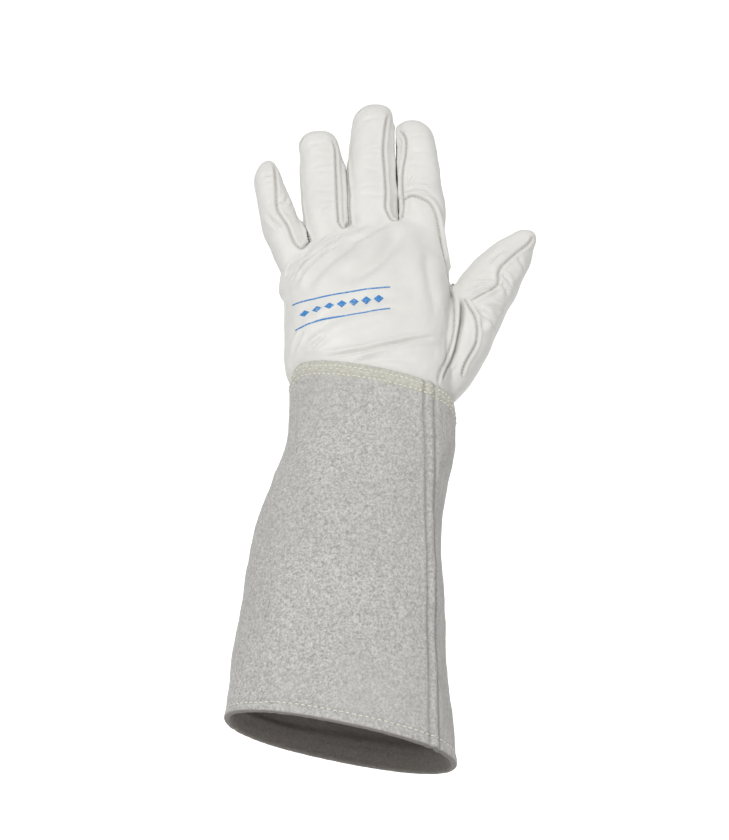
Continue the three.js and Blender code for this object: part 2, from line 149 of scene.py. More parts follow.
def waves(points, wavelength, seed):
    """Soft repeatable noise about -1 to 1: a sum of plane waves in random directions."""
    random = np.random.default_rng(seed)
    total = np.zeros(len(points))
    count = 9
    for _ in range(count):
        direction = random.normal(size=3)
        direction /= np.linalg.norm(direction)
        length = wavelength * random.uniform(0.7, 1.5)
        total += np.sin(points @ direction * (2 * math.pi / length) + random.uniform(0, 2 * math.pi))
    return total / math.sqrt(count)


def spline(controls, spacing):
    """Points a fixed distance apart along a Catmull-Rom curve through the controls."""
    controls = np.array(controls, float)
    padded = np.vstack([2 * controls[0] - controls[1], controls, 2 * controls[-1] - controls[-2]])
    t = np.linspace(0, 1, 40, endpoint=False)[:, None]
    runs = []
    for p0, p1, p2, p3 in zip(padded, padded[1:], padded[2:], padded[3:]):
        run = (2 * p1 + (p2 - p0) * t + (2 * p0 - 5 * p1 + 4 * p2 - p3) * t**2
               + (3 * p1 - p0 - 3 * p2 + p3) * t**3) / 2
        runs.append(run)
    line = np.vstack(runs + [controls[-1:]])
    reach = np.r_[0, np.cumsum(np.linalg.norm(np.diff(line, axis=0), axis=1))]
    marks = np.linspace(0, reach[-1], max(2, int(reach[-1] / spacing) + 1))
    return np.column_stack([np.interp(marks, reach, line[:, k]) for k in range(line.shape[1])])


def oval_ring(angles, half_width, half_depth, power):
    """Points round a superellipse; a power over 2 makes it squarer."""
    across, through = np.cos(angles), np.sin(angles)
    x = half_width * np.sign(across) * np.abs(across) ** (2 / power)
    y = half_depth * np.sign(through) * np.abs(through) ** (2 / power)
    return x, y


# ---- Meshes ----------------------------------------------------------------------------------------
def make_object(name, points, faces, material, attributes=None, loop_normals=None):
    """A Blender object from points in mm, with shader attributes by vertex."""
    mesh = bpy.data.meshes.new(name)
    mesh.from_pydata((np.asarray(points) * MM).tolist(), [], [list(map(int, f)) for f in faces])
    mesh.polygons.foreach_set("use_smooth", [True] * len(mesh.polygons))
    for key, values in (attributes or {}).items():
        attribute = mesh.attributes.new(key, "FLOAT", "POINT")
        attribute.data.foreach_set("value", np.asarray(values, np.float32))
    if loop_normals is not None:
        mesh.normals_split_custom_set(loop_normals)
    mesh.update()
    thing = bpy.data.objects.new(name, mesh)
    bpy.context.scene.collection.objects.link(thing)
    if material:
        mesh.materials.append(material)
    return thing


def loft(rings):
    """Vertices and faces of a closed solid through rings of equal count."""
    sides = len(rings[0])
    points = np.vstack(rings + [rings[0].mean(0)[None], rings[-1].mean(0)[None]])
    faces = []
    for level in range(len(rings) - 1):
        for i in range(sides):
            j = (i + 1) % sides
            low, high = level * sides, (level + 1) * sides
            faces.append((low + i, low + j, high + j, high + i))
    foot, top = len(rings) * sides, len(rings) * sides + 1
    last = (len(rings) - 1) * sides
    for i in range(sides):
        j = (i + 1) % sides
        faces.append((foot, j, i))
        faces.append((top, last + i, last + j))
    return points, faces


def vertex_normals(points, faces):
    """Each vertex's normal, averaged over its faces by their size."""
    diagonal_a = points[faces[:, 2]] - points[faces[:, 0]]
    diagonal_b = points[faces[:, -1]] - points[faces[:, 1]]
    face_normals = np.cross(diagonal_a, diagonal_b)
    total = np.zeros_like(points)
    for corner in range(faces.shape[1]):
        for axis in range(3):
            total[:, axis] += np.bincount(faces[:, corner], face_normals[:, axis], len(points))
    return total / np.maximum(np.linalg.norm(total, axis=1), 1e-12)[:, None]


def smooth(points, faces, rounds, strength):
    """Moves every vertex toward the average of its neighbours, `rounds` times."""
    a = faces.ravel()
    b = np.roll(faces, -1, axis=1).ravel()
    count = np.bincount(a, minlength=len(points)) + np.bincount(b, minlength=len(points))
    for _ in range(rounds):
        mean = np.empty_like(points)
        for axis in range(3):
            mean[:, axis] = (np.bincount(a, points[b, axis], len(points))
                             + np.bincount(b, points[a, axis], len(points))) / np.maximum(count, 1)
        points = points + (mean - points) * strength
    return points


# ---- Finger frames ---------------------------------------------------------------------------------
class Stall:
    """A finger's own frame: x across it toward the thumb, y toward the palm, s along it from its root."""

    def __init__(self, name, shape):
        root = JOINTS[f"{name}_root_fold"]
        bend = JOINTS[f"{name}_tip_fold" if name == "thumb" else f"{name}_middle_fold"]
        self.name = name
        self.origin = np.array(root["pos_m"]) / MM
        self.turn_to(math.atan2(root["axis"][2], -root["axis"][0]))
        self.fold = float((np.array(bend["pos_m"]) / MM - self.origin) @ self.along)
        self.length = shape["length"]
        self.shape = shape
        self.outline = spline(shape["outline"], 1.0)
        depths = shape["depths"]
        if name != "thumb":
            root, fold, tip = depths
            depths = [(-46, root * 0.8), (0, root), (self.fold, fold), (self.length, tip)]
        self.depths = np.array(depths, float)

    def turn_to(self, lean):
        """Leans the finger by an angle toward the thumb."""
        self.lean = lean
        self.across = np.array([math.cos(lean), 0, -math.sin(lean)])
        self.through = np.array([0, 1.0, 0])
        self.along = np.array([math.sin(lean), 0, math.cos(lean)])

    def to_world(self, x, y, s):
        return (self.origin + np.multiply.outer(x, self.across) + np.multiply.outer(y, self.through)
                + np.multiply.outer(s, self.along))

    def to_local(self, points):
        offset = points - self.origin
        return offset @ self.across, offset @ self.through, offset @ self.along

    def section(self, s):
        """Middle, half-width and half-depth of the finger at s."""
        s = np.asarray(s, float)
        left = np.interp(s, self.outline[:, 0], self.outline[:, 1])
        right = np.interp(s, self.outline[:, 0], self.outline[:, 2])
        tip = self.shape["tip"]
        past = np.clip((s - self.length) / self.shape["rounding"] + 1, 0, 1)
        left_power, right_power = self.shape["powers"]
        left = tip + (left - tip) * (1 - past**left_power) ** (1 / left_power)
        right = tip + (right - tip) * (1 - past**right_power) ** (1 / right_power)
        depth = np.interp(s, self.depths[:, 0], self.depths[:, 1]) * (1 - past**2.3) ** (1 / 2.3)
        return (left + right) / 2, (right - left) / 2, depth

    def rings(self, sides, step=2.0):
        """Cross-sections from below the root to the tip, closer together round the tip."""
        angles = np.linspace(0, 2 * math.pi, sides, endpoint=False)
        tip_start = self.length - self.shape["rounding"]
        past = np.sin(np.linspace(0, math.pi / 2, 12))[:-1]
        levels = np.r_[np.arange(self.outline[0, 0], tip_start - 1, step),
                       tip_start + past * self.shape["rounding"]]
        rings = []
        for s in levels:
            middle, half_width, half_depth = self.section(s)
            x, y = oval_ring(angles, half_width, half_depth, STALL_POWER)
            rings.append(self.to_world(middle + x, y, np.full(sides, s)))
        return rings

    def surface(self, share, face, s):
        """Points at a share of the half-width, on the back (-1) or palm (1) face."""
        middle, half_width, half_depth = self.section(s)
        share = np.clip(share, -0.999, 0.999)
        level = face * (1 - np.abs(share) ** STALL_POWER) ** (1 / STALL_POWER)
        return self.to_world(middle + share * half_width, level * half_depth, s)


STALL_POWER = 2.35
STALLS = {name: Stall(name, shape) for name, shape in FINGERS.items()}
THUMB = Stall("thumb", THUMB_SHAPE)
STALLS_AND_THUMB = {**STALLS, "thumb": THUMB}


# ---- Hand surface ----------------------------------------------------------------------------------
PALM_POWER = 2.5
CROTCH_SLOPE = 0.2
CROTCH_X = 10.0
CROTCH_FALL = 0.0094
FINGER_GAP = 0.6
# Room between the cuff's inner face and the leather tucked inside it
TUCK_ROOM = 0.7


def palm_rings(sides=96):
    """Sections of the palm: height, left and right edge, depth and how much the ring tilts."""
    left = WRIST_X - WRIST_WIDTH / 2 + 2.8
    right = WRIST_X + WRIST_WIDTH / 2 - 2.8
    rows = [
        (WRIST_Z - 12, left, right, 57.0, 0),
        (WRIST_Z + 8, left + 0.3, right - 0.3, 57.0, 0),
        (HEEL_Z - 24, left - 0.8, right - 1.5, 56.0, 0),
        (HEEL_Z - 10, left - 3.8, right, 56.5, 0),
        (HEEL_Z + 12, left - 5.7, right + 0.5, 57, 0),
        (HEEL_Z + 38, left - 6.3, right + 1.4, 56, 0),
        (HEEL_Z + 56, left - 8.0, right + 1.2, 46.5, CROTCH_SLOPE / 2),
        (HEEL_Z + 69, left - 8.8, right, 35.5, CROTCH_SLOPE),
        (HEEL_Z + 79, left - 9.0, right - 3, 27, CROTCH_SLOPE),
        (HEEL_Z + 86.5, left - 6.0, right - 8, 18, CROTCH_SLOPE),
    ]
    table = np.array(rows, float)
    fine = spline(table, 2.5)
    angles = np.linspace(0, 2 * math.pi, sides, endpoint=False)
    rings = []
    for z, left, right, depth, tilt in fine:
        x, y = oval_ring(angles, (right - left) / 2, depth / 2, PALM_POWER)
        x = x + (left + right) / 2
        fall = CROTCH_SLOPE * (x - CROTCH_X)
        fall = fall - CROTCH_FALL * np.clip(CROTCH_X - 5 - x, 0, 40) ** 2
        rings.append(np.column_stack([x, y, z + fall * tilt / CROTCH_SLOPE]))
    return rings


def union_surface():
    """One smooth skin round the palm, fingers and thumb, open nowhere."""
    solids = [loft(palm_rings())]
    for name, stall in STALLS.items():
        final = stall.lean
        stall.turn_to(final + math.radians(SPREAD[name]))
        solids.append(loft(stall.rings(48)))
        stall.turn_to(final)
    solids.append(loft(THUMB.rings(56)))
    points, faces, start = [], [], 0
    for part_points, part_faces in solids:
        points.append(part_points)
        faces += [tuple(i + start for i in face) for face in part_faces]
        start += len(part_points)
    rough = make_object("hand_rough", np.vstack(points), faces, None)
    remesh = rough.modifiers.new("skin", "REMESH")
    remesh.mode = "VOXEL"
    remesh.voxel_size = VOXEL * MM
    graph = bpy.context.evaluated_depsgraph_get()
    skin = rough.evaluated_get(graph).to_mesh()
    place = np.empty(len(skin.vertices) * 3)
    skin.vertices.foreach_get("co", place)
    corners = np.empty(len(skin.loops), int)
    skin.loops.foreach_get("vertex_index", corners)
    bpy.data.objects.remove(rough)
    points, faces = place.reshape(-1, 3) / MM, corners.reshape(-1, 4)
    points = close_fingers(smooth(points, faces, 10, 0.5))
    return press_together(points, faces), faces


def close_fingers(points):
    """Turns each finger from its spread place back to its own lean."""
    nearest = np.full(len(points), 99.0)
    moved = points.copy()
    for name, stall in STALLS.items():
        spread = math.radians(SPREAD[name])
        final = stall.lean
        stall.turn_to(final + spread)
        x, _, s = stall.to_local(points)
        middle, half_width, _ = stall.section(np.clip(s, -46, stall.length - 15))
        away = np.abs(x - middle) / half_width
        mine = (s > -10) & (away < nearest) & (away < 1.5)
        turn = -spread * smoothstep(s[mine], -10, 14)
        nearest[mine] = away[mine]
        offset = points[mine] - stall.origin
        cos, sin = np.cos(turn), np.sin(turn)
        moved[mine, 0] = stall.origin[0] + offset[:, 0] * cos + offset[:, 2] * sin
        moved[mine, 2] = stall.origin[2] - offset[:, 0] * sin + offset[:, 2] * cos
        stall.turn_to(final)
    return moved


def tuck_in(points):
    """Keeps the leather inside the cuff where it runs down into it."""
    x, y, z = points.T
    above = z - edge_height(x)
    room_x = WRIST_WIDTH / 2 - SUEDE - TUCK_ROOM
    room_y = WRIST_DEPTH / 2 - SUEDE - TUCK_ROOM
    across = np.abs((x - WRIST_X) / room_x) ** CUFF_POWER
    through = np.abs(y / room_y) ** CUFF_POWER
    reach = (across + through) ** (1 / CUFF_POWER)
    limit = 1 + 0.08 * smoothstep(above, 0, 12)
    shrink = np.minimum(limit / np.maximum(reach, 1e-6), 1)
    shrink = shrink + (1 - shrink) * smoothstep(above, 2, 20)
    return np.column_stack([WRIST_X + (x - WRIST_X) * shrink, y * shrink, z])


def press_together(points, faces):
    """Moves the sides of neighbouring fingers to within FINGER_GAP of each other where they are near."""
    tree = BVHTree.FromPolygons(points.tolist(), faces.tolist())
    normals = vertex_normals(points, faces)
    low = HEEL_Z + 60
    which = np.where((points[:, 2] > low) & (np.abs(normals[:, 0]) > 0.2))[0]
    shift = np.zeros(len(points))
    for i in which:
        side = 1.0 if normals[i, 0] > 0 else -1.0
        start = points[i] + normals[i] * 0.05
        hit, _, _, gap = tree.ray_cast(Vector(start), Vector((side, 0, 0)), 6.0)
        if hit is not None:
            near = 1 - smoothstep(gap, 2.5, 5.5)
            facing = smoothstep(abs(normals[i, 0]), 0.2, 0.7)
            shift[i] = side * max(gap - FINGER_GAP, 0) / 2 * near * facing
    a = faces.ravel()
    b = np.roll(faces, -1, axis=1).ravel()
    count = np.bincount(a, minlength=len(points)) + np.bincount(b, minlength=len(points))
    for _ in range(6):
        total = np.bincount(a, shift[b], len(points)) + np.bincount(b, shift[a], len(points))
        shift = 0.5 * shift + 0.5 * total / np.maximum(count, 1)
    points = points.copy()
    points[:, 0] += shift
    return points


def edge_height(x):
    """Height of the cuff's upper edge over x: parallel to the hem, with rounded ends."""
    left = WRIST_X - WRIST_WIDTH / 2 + EDGE_CORNER
    right = WRIST_X + WRIST_WIDTH / 2 - EDGE_CORNER
    past = np.clip(np.maximum(left - x, x - right) / EDGE_CORNER, 0, 1)
    return CUFF_LENGTH - HEM_SLANT * np.clip(x, left, right) - EDGE_CORNER * (1 - np.sqrt(1 - past**2))


class Skin:
    """The hand's outer surface, with tools to press seams and folds into it."""

    def __init__(self, points, faces):
        self.points = points
        self.faces = faces
        self.shade = np.zeros(len(points))
        self.refresh()

    def refresh(self):
        self.normals = vertex_normals(self.points, self.faces)
        self.tree = BVHTree.FromPolygons(self.points.tolist(), self.faces.tolist())

    def project(self, line):
        """Each point of a line moved to the nearest place on the surface."""
        return np.array([self.tree.find_nearest(Vector(p))[0] for p in line])

    def from_side(self, outline, side):
        """An (x, z) line laid on the surface from the back of the hand (-1) or the palm (1)."""
        hits = []
        for x, z in outline:
            hit = self.tree.ray_cast(Vector((x, side * 90.0, z)), Vector((0, -side, 0)))[0]
            if hit is not None:
                hits.append(hit)
        return np.array(hits)

    def near(self, line, reach):
        """Vertices within reach of a line: their indices, distances and nearest samples."""
        low, high = line.min(0) - reach, line.max(0) + reach
        inside = np.where(np.all((self.points > low) & (self.points < high), axis=1))[0]
        distances = np.empty(len(inside))
        nearest = np.empty(len(inside), int)
        for start in range(0, len(inside), 3000):
            chunk = self.points[inside[start:start + 3000]]
            gaps = np.linalg.norm(chunk[:, None] - line[None], axis=2)
            nearest[start:start + 3000] = gaps.argmin(1)
            distances[start:start + 3000] = gaps.min(1)
        keep = distances < reach
        return inside[keep], distances[keep], nearest[keep]

    def press(self, line, depth, width, swell=0.0, swell_at=2.2, swell_width=1.4, fade=0.12, shade=0.0,
              pucker=0.0, pitch=3.0):
        """Sinks a groove along a line, or raises a ridge where depth is negative, with swollen sides."""
        which, distance, nearest = self.near(line, max(width * 3, swell_at + swell_width * 2.5))
        along = nearest / max(len(line) - 1, 1)
        weight = smoothstep(along, 0, fade) * smoothstep(1 - along, 0, fade) if fade else 1.0
        shape = -depth * bump(distance, width) + swell * bump(distance - swell_at, swell_width)
        if pucker:
            step = np.linalg.norm(line[1] - line[0])
            beat = np.cos(nearest * step * 2 * math.pi / pitch)
            shape = shape + pucker * beat * bump(distance - swell_at, swell_width)
        self.points[which] += self.normals[which] * (shape * weight)[:, None]
        # painted shade: records how far the colour is darkened along the groove
        self.shade[which] = np.maximum(self.shade[which], shade * weight * bump(distance, width * 1.1))


# Finger seams on the back as (x, z) points seen from the back, from the tip to the crotch
BACK_SEAMS = {
    "index": ((34.7, 384), (38.4, 375.3), (38, 364), (36.4, 355), (36, 343), (36.4, 334), (36.6, 328),
              (35.8, 322)),
    "middle": ((28.2, 397), (26.1, 384), (24.8, 368), (25.7, 350), (26.2, 336.6), (26, 326), (28.4, 320.3)),
    "ring": ((-7.4, 376), (-4.9, 370), (-4.3, 358.5), (-3.7, 341.6), (-3.1, 327.7), (-2.2, 316)),
    "little": ((-44, 360), (-41.9, 357), (-40.7, 343.5), (-39.9, 326.7), (-36.8, 319.6), (-33.3, 314),
               (-30.2, 305.4), (-27.7, 300.8)),
}
# The seams on the sides away from the thumb: (distance along the finger, share of the half-width)
OUTER_SEAMS = {
    "middle": ((-12, -0.93), (2, -0.91), (13, -0.94), (30, -0.99), (60, -0.98), (70, -0.7)),
    "ring": ((-24, -0.90), (-12, -0.96), (8, -0.98), (30, -0.995), (44, -0.98), (52, -0.7)),
}
# The lowest place of the seam round each crotch
CROTCHES = (("index", "middle", (32.2, 317.4)), ("middle", "ring", (1.4, 312.9)),
            ("ring", "little", (-24.6, 299)))
PALM_SHARE = 0.9
SEAM_DEPTH = 0.75
SEAM_WIDTH = 0.75
# The thumb side of the back: a groove beside the raised seam, which runs round the index finger's root
WELT_LINE = (
    (37, 330), (38, 332.6), (40.5, 333.4), (44, 332.8), (48.9, 330.9), (52.8, 327.6), (55.7, 322.1),
    (57.6, 315.1), (59.3, 302.7), (60.8, 293.6), (62.4, 283.5), (64, 272.9), (65.2, 266), (65.6, 253),
    (64.7, 240.7), (62.4, 231.5), (59.6, 221), (56.8, 213.8), (54.5, 204),
)
WELT_OFFSET = 2.3
# The narrow opening between the raised seam and the thumb's side piece
THUMB_SLIT = (
    (70.6, 267.5), (70.6, 257.3), (69.9, 249), (68.6, 240.8), (66.7, 231.7), (63.4, 222), (60, 212.6),
    (57.8, 204.6),
)
# Where the thumb is sewn into the hand, and the thumb's own closing seam
THUMB_SEAM = (
    (71.6, 266), (74.7, 260), (77.4, 254.2), (78.8, 249.6), (79.4, 243.7), (78.6, 237.1), (76.3, 231.7),
    (73.4, 226.4), (71, 221.3), (69.6, 216),
)
THUMB_CLOSING = (
    (115.2, 313), (112.4, 307.6), (105.1, 300.4), (98.9, 293.6), (94.4, 288.1), (92.9, 283.8), (92.5, 278),
    (90.3, 274.5), (82.9, 268.8), (76.4, 264.4),
)
PALM_THUMB_SEAM = ((66, 284), (58, 278), (50, 264), (47, 248), (49, 232), (55, 216), (60, 206))
PALM_SEAM_LITTLE = ((-42, 312), (-35, 290), (-32, 268), (-31, 246), (-28, 224), (-26, 208))


def stall_seam(name, marks, face):
    """A seam along a finger from its root to its tip; face is -1 on the back and 1 on the palm side."""
    marks = spline(marks, 1.0)
    return STALLS[name].surface(marks[:, 1], face, marks[:, 0])


def seam_lines(skin):
    """The hand's seams by name, as points on the surface half a millimetre apart."""
    lines = {}
    back = {name: skin.from_side(spline(points, 1.0), -1) for name, points in BACK_SEAMS.items()}
    outer = {name: skin.project(stall_seam(name, marks, -1)) for name, marks in OUTER_SEAMS.items()}
    for near, far, dip in CROTCHES:
        bottom = skin.from_side([dip], -1)
        if near == "index":
            line = np.vstack([back["index"][::2], bottom, back["middle"][::-2]])
        else:
            line = np.vstack([back[far][::2], bottom, outer[near][::2]])
        lines[f"{near}_{far}_back"] = line
        near_marks = [(s, -PALM_SHARE) for s in (-6, 12, 30, STALLS[near].length - 6)]
        far_marks = [(s, PALM_SHARE) for s in (-6, 12, 30, STALLS[far].length - 6)]
        near_line = stall_seam(near, near_marks, 1)
        far_line = stall_seam(far, far_marks, 1)
        low = (near_line[0] + far_line[0]) / 2
        low[2] = min(near_line[0, 2], far_line[0, 2]) - 4
        lines[f"{near}_{far}_palm"] = np.vstack([near_line[::-2], low[None], far_line[::2]])
    for key, points, face in (("thumb_seam", THUMB_SEAM, -1), ("thumb_closing", THUMB_CLOSING, -1),
                              ("palm_thumb", PALM_THUMB_SEAM, 1), ("palm_little", PALM_SEAM_LITTLE, 1)):
        lines[key] = skin.from_side(spline(points, 1.0), face)
    return {name: skin.project(spline(line, 0.5)) for name, line in lines.items()}


FOLD_STRENGTH = 1.5
# Folds in the back of the hand, as (x, z) points seen from the back: points, depth, width, swell
BACK_FOLDS = (
    (((1, 309), (-3.8, 302.5), (-11.5, 294.6), (-19.1, 288), (-25.8, 280.4), (-29.5, 273)), 1.2, 1.3, 0.8),
    (((-2, 300), (-5.7, 294.7), (-15.2, 284.9), (-23.6, 274.1), (-28.4, 268)), 1.0, 1.4, 0.7),
    (((-1, 310), (-9.7, 300.6), (-17.3, 292.6), (-24.1, 290)), 0.8, 1.2, 0.5),
    (((-21.3, 296), (-26, 289.4), (-30.8, 284.8), (-34.7, 278)), 0.9, 1.2, 0.6),
    (((-19.2, 289.5), (-25.7, 278.7), (-31.5, 272)), 0.8, 1.2, 0.5),
    (((33, 315), (31.9, 302.4), (26, 288.2), (18.3, 278.2), (9.8, 271.1), (-4, 266)), 1.5, 4.4, 1.2),
    (((27, 317), (19.4, 308.1), (11.7, 301.8), (3, 297)), 0.7, 2.2, 0.6),
    (((12, 309), (2, 292), (-12, 277), (-24, 258)), 0.7, 3.2, 0.7),
    (((-22, 219), (-7.4, 217.7), (8.6, 219.2), (20.3, 222.4), (34.9, 226.7), (49.8, 232), (60, 237)),
     1.2, 1.2, 1.0),
    (((-30, 216.5), (-25.2, 219.3), (-14, 217.8)), 0.7, 1.0, 0.6),
    (((-29, 218.3), (-23.7, 221), (-16.4, 226.2), (-8, 232.5)), 0.9, 1.3, 0.7),
    (((-30.7, 224), (-27.6, 228.2), (-22, 238)), 0.9, 1.3, 0.7),
    (((-26, 230), (-1, 243), (22.1, 249.4), (45.3, 250.8)), 0.8, 3.4, 0.9),
    (((5, 213), (24, 215), (44, 216)), 0.5, 2.0, 0.5),
    (((53, 300), (50, 280), (53, 258), (55, 240)), 0.6, 3.5, 0.5),
    (((13.6, 366.4), (17.6, 368), (22.6, 369.5)), 0.35, 0.9, 0.2),
    (((-13.8, 320.5), (-9.9, 324.1), (-4.1, 326.3)), 0.5, 1.2, 0.3),
    (((-47, 323), (-41.1, 315.5), (-35.2, 310.2)), 0.8, 1.2, 0.5),
    (((-39.5, 330.8), (-35.1, 330.3), (-33.5, 337)), 0.6, 1.0, 0.4),
    (((37.8, 337), (44.5, 339.5), (54, 337.6)), 0.5, 1.1, 0.4),
    (((37.8, 336.5), (44, 336.4), (51, 334)), 0.45, 1.0, 0.3),
)
# Fine creases that fan out from the crotch beside the index finger
STAR_CENTRE = (37.6, 337)
STAR_DEPTH = 0.7
STAR_WIDTH = 0.65
STAR_ENDS = ((39, 350), (41.6, 350), (44.4, 348.5), (47, 346), (49.4, 343), (51, 340))
# Folds of the thumb, seen from the back; a negative depth is a raised fold
THUMB_FOLDS = (
    (((100.5, 299.5), (97, 298), (93.5, 294.6), (90.6, 290), (89.2, 284)), -0.9, 2.0, 0),
    (((97.5, 300), (92, 297), (87.5, 291)), 0.5, 1.6, 0.2),
    (((92.6, 277), (86.7, 276), (81.7, 275.7), (78, 273.9)), 0.7, 1.0, 0.5),
    (((92, 279.5), (86, 280.5), (80, 280)), 0.5, 1.4, 0.3),
    (((91.8, 275.5), (85.2, 272.4), (79.3, 269.5), (74.2, 266)), 0.9, 1.1, 0.6),
    (((79, 259), (84, 255.8), (88.4, 252), (91.7, 247)), 0.9, 1.6, 0.8),
    (((86.4, 263), (90.8, 262.3), (94.6, 262), (97.2, 263)), 0.7, 1.3, 0.6),
    (((93.5, 284.7), (97.1, 281.9), (100, 278.3), (102.4, 276.4)), 0.8, 1.2, 0.6),
    (((93, 279), (97, 276), (99, 271)), 0.7, 1.6, 0.5),
    (((81, 262), (83, 252), (82, 243)), 0.6, 2.2, 0.5),
    (((104, 297), (108, 293), (110, 289)), 0.4, 1.4, 0.3),
    (((72.5, 257), (74.6, 245), (72.5, 233), (68, 220)), -0.5, 2.4, 0),
)
# Creases seen from the palm
PALM_FOLDS = (
    (((-34, 262), (-10, 272), (18, 284), (40, 296), (58, 300)), 1.3, 2.2, 0.9),
    (((-34, 284), (-14, 296), (10, 300), (30, 304)), 1.0, 1.8, 0.7),
    (((40, 290), (26, 268), (20, 244), (24, 216)), 1.3, 2.8, 1.0),
    (((-24, 217), (0, 222), (30, 220), (54, 224)), 0.9, 1.6, 0.7),
    (((-28, 240), (-18, 232), (-6, 229)), 0.7, 1.4, 0.5),
)


def crease_fingers(skin):
    """A few shallow creases across each finger, front and back."""
    random = np.random.default_rng(SEED)
    for stall in STALLS.values():
        for s in (2, 11, stall.fold - 5, stall.fold, stall.fold + 6, stall.length - 16):
            for face in (-1, 1):
                share = np.linspace(-0.75, 0.75, 9) * random.uniform(0.5, 1.0) + random.uniform(-0.15, 0.15)
                bow = s + random.uniform(-2.5, 2.5) * share + random.uniform(-2, 2)
                line = skin.project(spline(stall.surface(share, face, bow), 0.5))
                depth = random.uniform(0.2, 0.4) * (1.5 if face > 0 else 1)
                skin.press(line, depth, random.uniform(1.0, 1.5), 0.15, 2.4, 1.4, fade=0.3)


def build_skin():
    """The hand's outer surface with its folds, creases and seams."""
    points, faces = union_surface()
    skin = Skin(points, faces)

    # soft unevenness of leather over a hand
    lift = 0.45 * waves(points, 34, 1) + 0.22 * waves(points, 15, 2) + 0.08 * waves(points, 6, 3)
    skin.points = skin.points + skin.normals * lift[:, None]
    skin.refresh()

    for folds, face in ((BACK_FOLDS, -1), (THUMB_FOLDS, -1), (PALM_FOLDS, 1)):
        for controls, depth, width, swell in folds:
            line = skin.from_side(spline(controls, 0.6), face)
            deep = depth * FOLD_STRENGTH
            skin.press(line, deep, width, swell * FOLD_STRENGTH, width * 2.1, width * 1.4, fade=0.3)
    crease_fingers(skin)
    for end in STAR_ENDS:
        start = np.array(STAR_CENTRE) * 0.65 + np.array(end) * 0.35
        line = skin.from_side(spline([start, end], 0.4), -1)
        skin.press(line, STAR_DEPTH, STAR_WIDTH, fade=0.3)
    skin.points = tuck_in(skin.points)
    skin.refresh()

    # the raised seam, with its groove, and the narrow opening beside the thumb
    welt = spline(WELT_LINE, 0.5)
    tangent = np.gradient(welt, axis=0)
    tangent /= np.linalg.norm(tangent, axis=1)[:, None]
    ridge = welt + np.column_stack([-tangent[:, 1], tangent[:, 0]]) * WELT_OFFSET
    ridge_line = skin.from_side(ridge, -1)
    skin.press(ridge_line, -1.3, 1.7, -0.35, 4.2, 1.2, fade=0.04)
    skin.refresh()
    welt_line = skin.from_side(welt, -1)
    # the shade values paint shade into the welt groove and the deep slit
    skin.press(welt_line, 0.8, 0.8, fade=0.03, shade=0.5)
    slit = skin.from_side(spline(THUMB_SLIT, 0.5), -1)
    skin.press(slit, 2.0, 1.0, 0.6, 2.6, 1.4, fade=0.12, shade=0.95)
    skin.refresh()

    # each seam is pressed as a groove with painted shade along it
    lines = seam_lines(skin)
    for line in lines.values():
        skin.press(line, SEAM_DEPTH, SEAM_WIDTH, 0.6, 2.1, 1.1, fade=0.04, shade=0.55, pucker=0.08)
    lines["welt"] = welt_line
    skin.points = smooth(skin.points, skin.faces, 1, 0.25)
    skin.refresh()
    skin.lines = {name: skin.project(line) for name, line in lines.items()}
    return skin


# ---- Splitting the skin into its pieces ------------------------------------------------------------
# How far the leather runs down inside the cuff
INSIDE_CUFF = 14


def finger_of(points):
    """For each point, the index of the finger whose bending part holds it, or -1; and its local place."""
    best = np.full(len(points), -1)
    score = np.full(len(points), 9.0)
    place = np.zeros((len(points), 3))
    for i, (name, stall) in enumerate(STALLS_AND_THUMB.items()):
        x, y, s = stall.to_local(points)
        middle, half_width, half_depth = stall.section(np.minimum(s, stall.length - stall.shape["rounding"]))
        start = THUMB_ROOT_BEND[0] if name == "thumb" else ROOT_BEND[0]
        share = (x - middle) / half_width
        away = np.maximum(np.abs(share), np.abs(y) / half_depth)
        hold = (s > start) & (away < 1.35) & (away < score)
        best[hold] = i
        score[hold] = away[hold]
        place[hold] = np.column_stack([share, y, s])[hold]
    return best, place


def seam_share(name, s):
    """Where the back seam runs across a finger, as a share of its half-width, at each s."""
    stall = STALLS[name]
    line = spline(BACK_SEAMS[name], 1.0)[::-1]
    x, _, along = stall.to_local(np.column_stack([line[:, 0], np.zeros(len(line)), line[:, 1]]))
    order = np.argsort(along)
    middle, half_width, _ = stall.section(np.minimum(s, stall.length - stall.shape["rounding"]))
    return (np.interp(s, along[order], x[order]) - middle) / half_width


def side_panel(name, share, y, s):
    """Which strip of leather a finger's point belongs to."""
    if name == "thumb":
        return np.where(y < 0, "back", "palm")
    back_share = seam_share(name, s)
    if name == "index":
        strip = np.where(y < 0, share < back_share, share < -PALM_SHARE)
        return np.where(strip, "fourchette_middle", "wrap")
    thumbward = np.where(y < 0, share > back_share, share > PALM_SHARE)
    if name == "little":
        return np.where(thumbward, "fourchette_ring", np.where(y < 3, "back", "palm"))
    seam = np.array(OUTER_SEAMS[name])
    outer_share = np.interp(s, seam[:, 0], seam[:, 1])
    outward = np.where(y < 0, share < outer_share, share < -PALM_SHARE)
    rest = np.where(y < 0, "back", "palm")
    rest = np.where(outward, "fourchette_outward", rest)
    return np.where(thumbward, "fourchette_thumbward", rest)


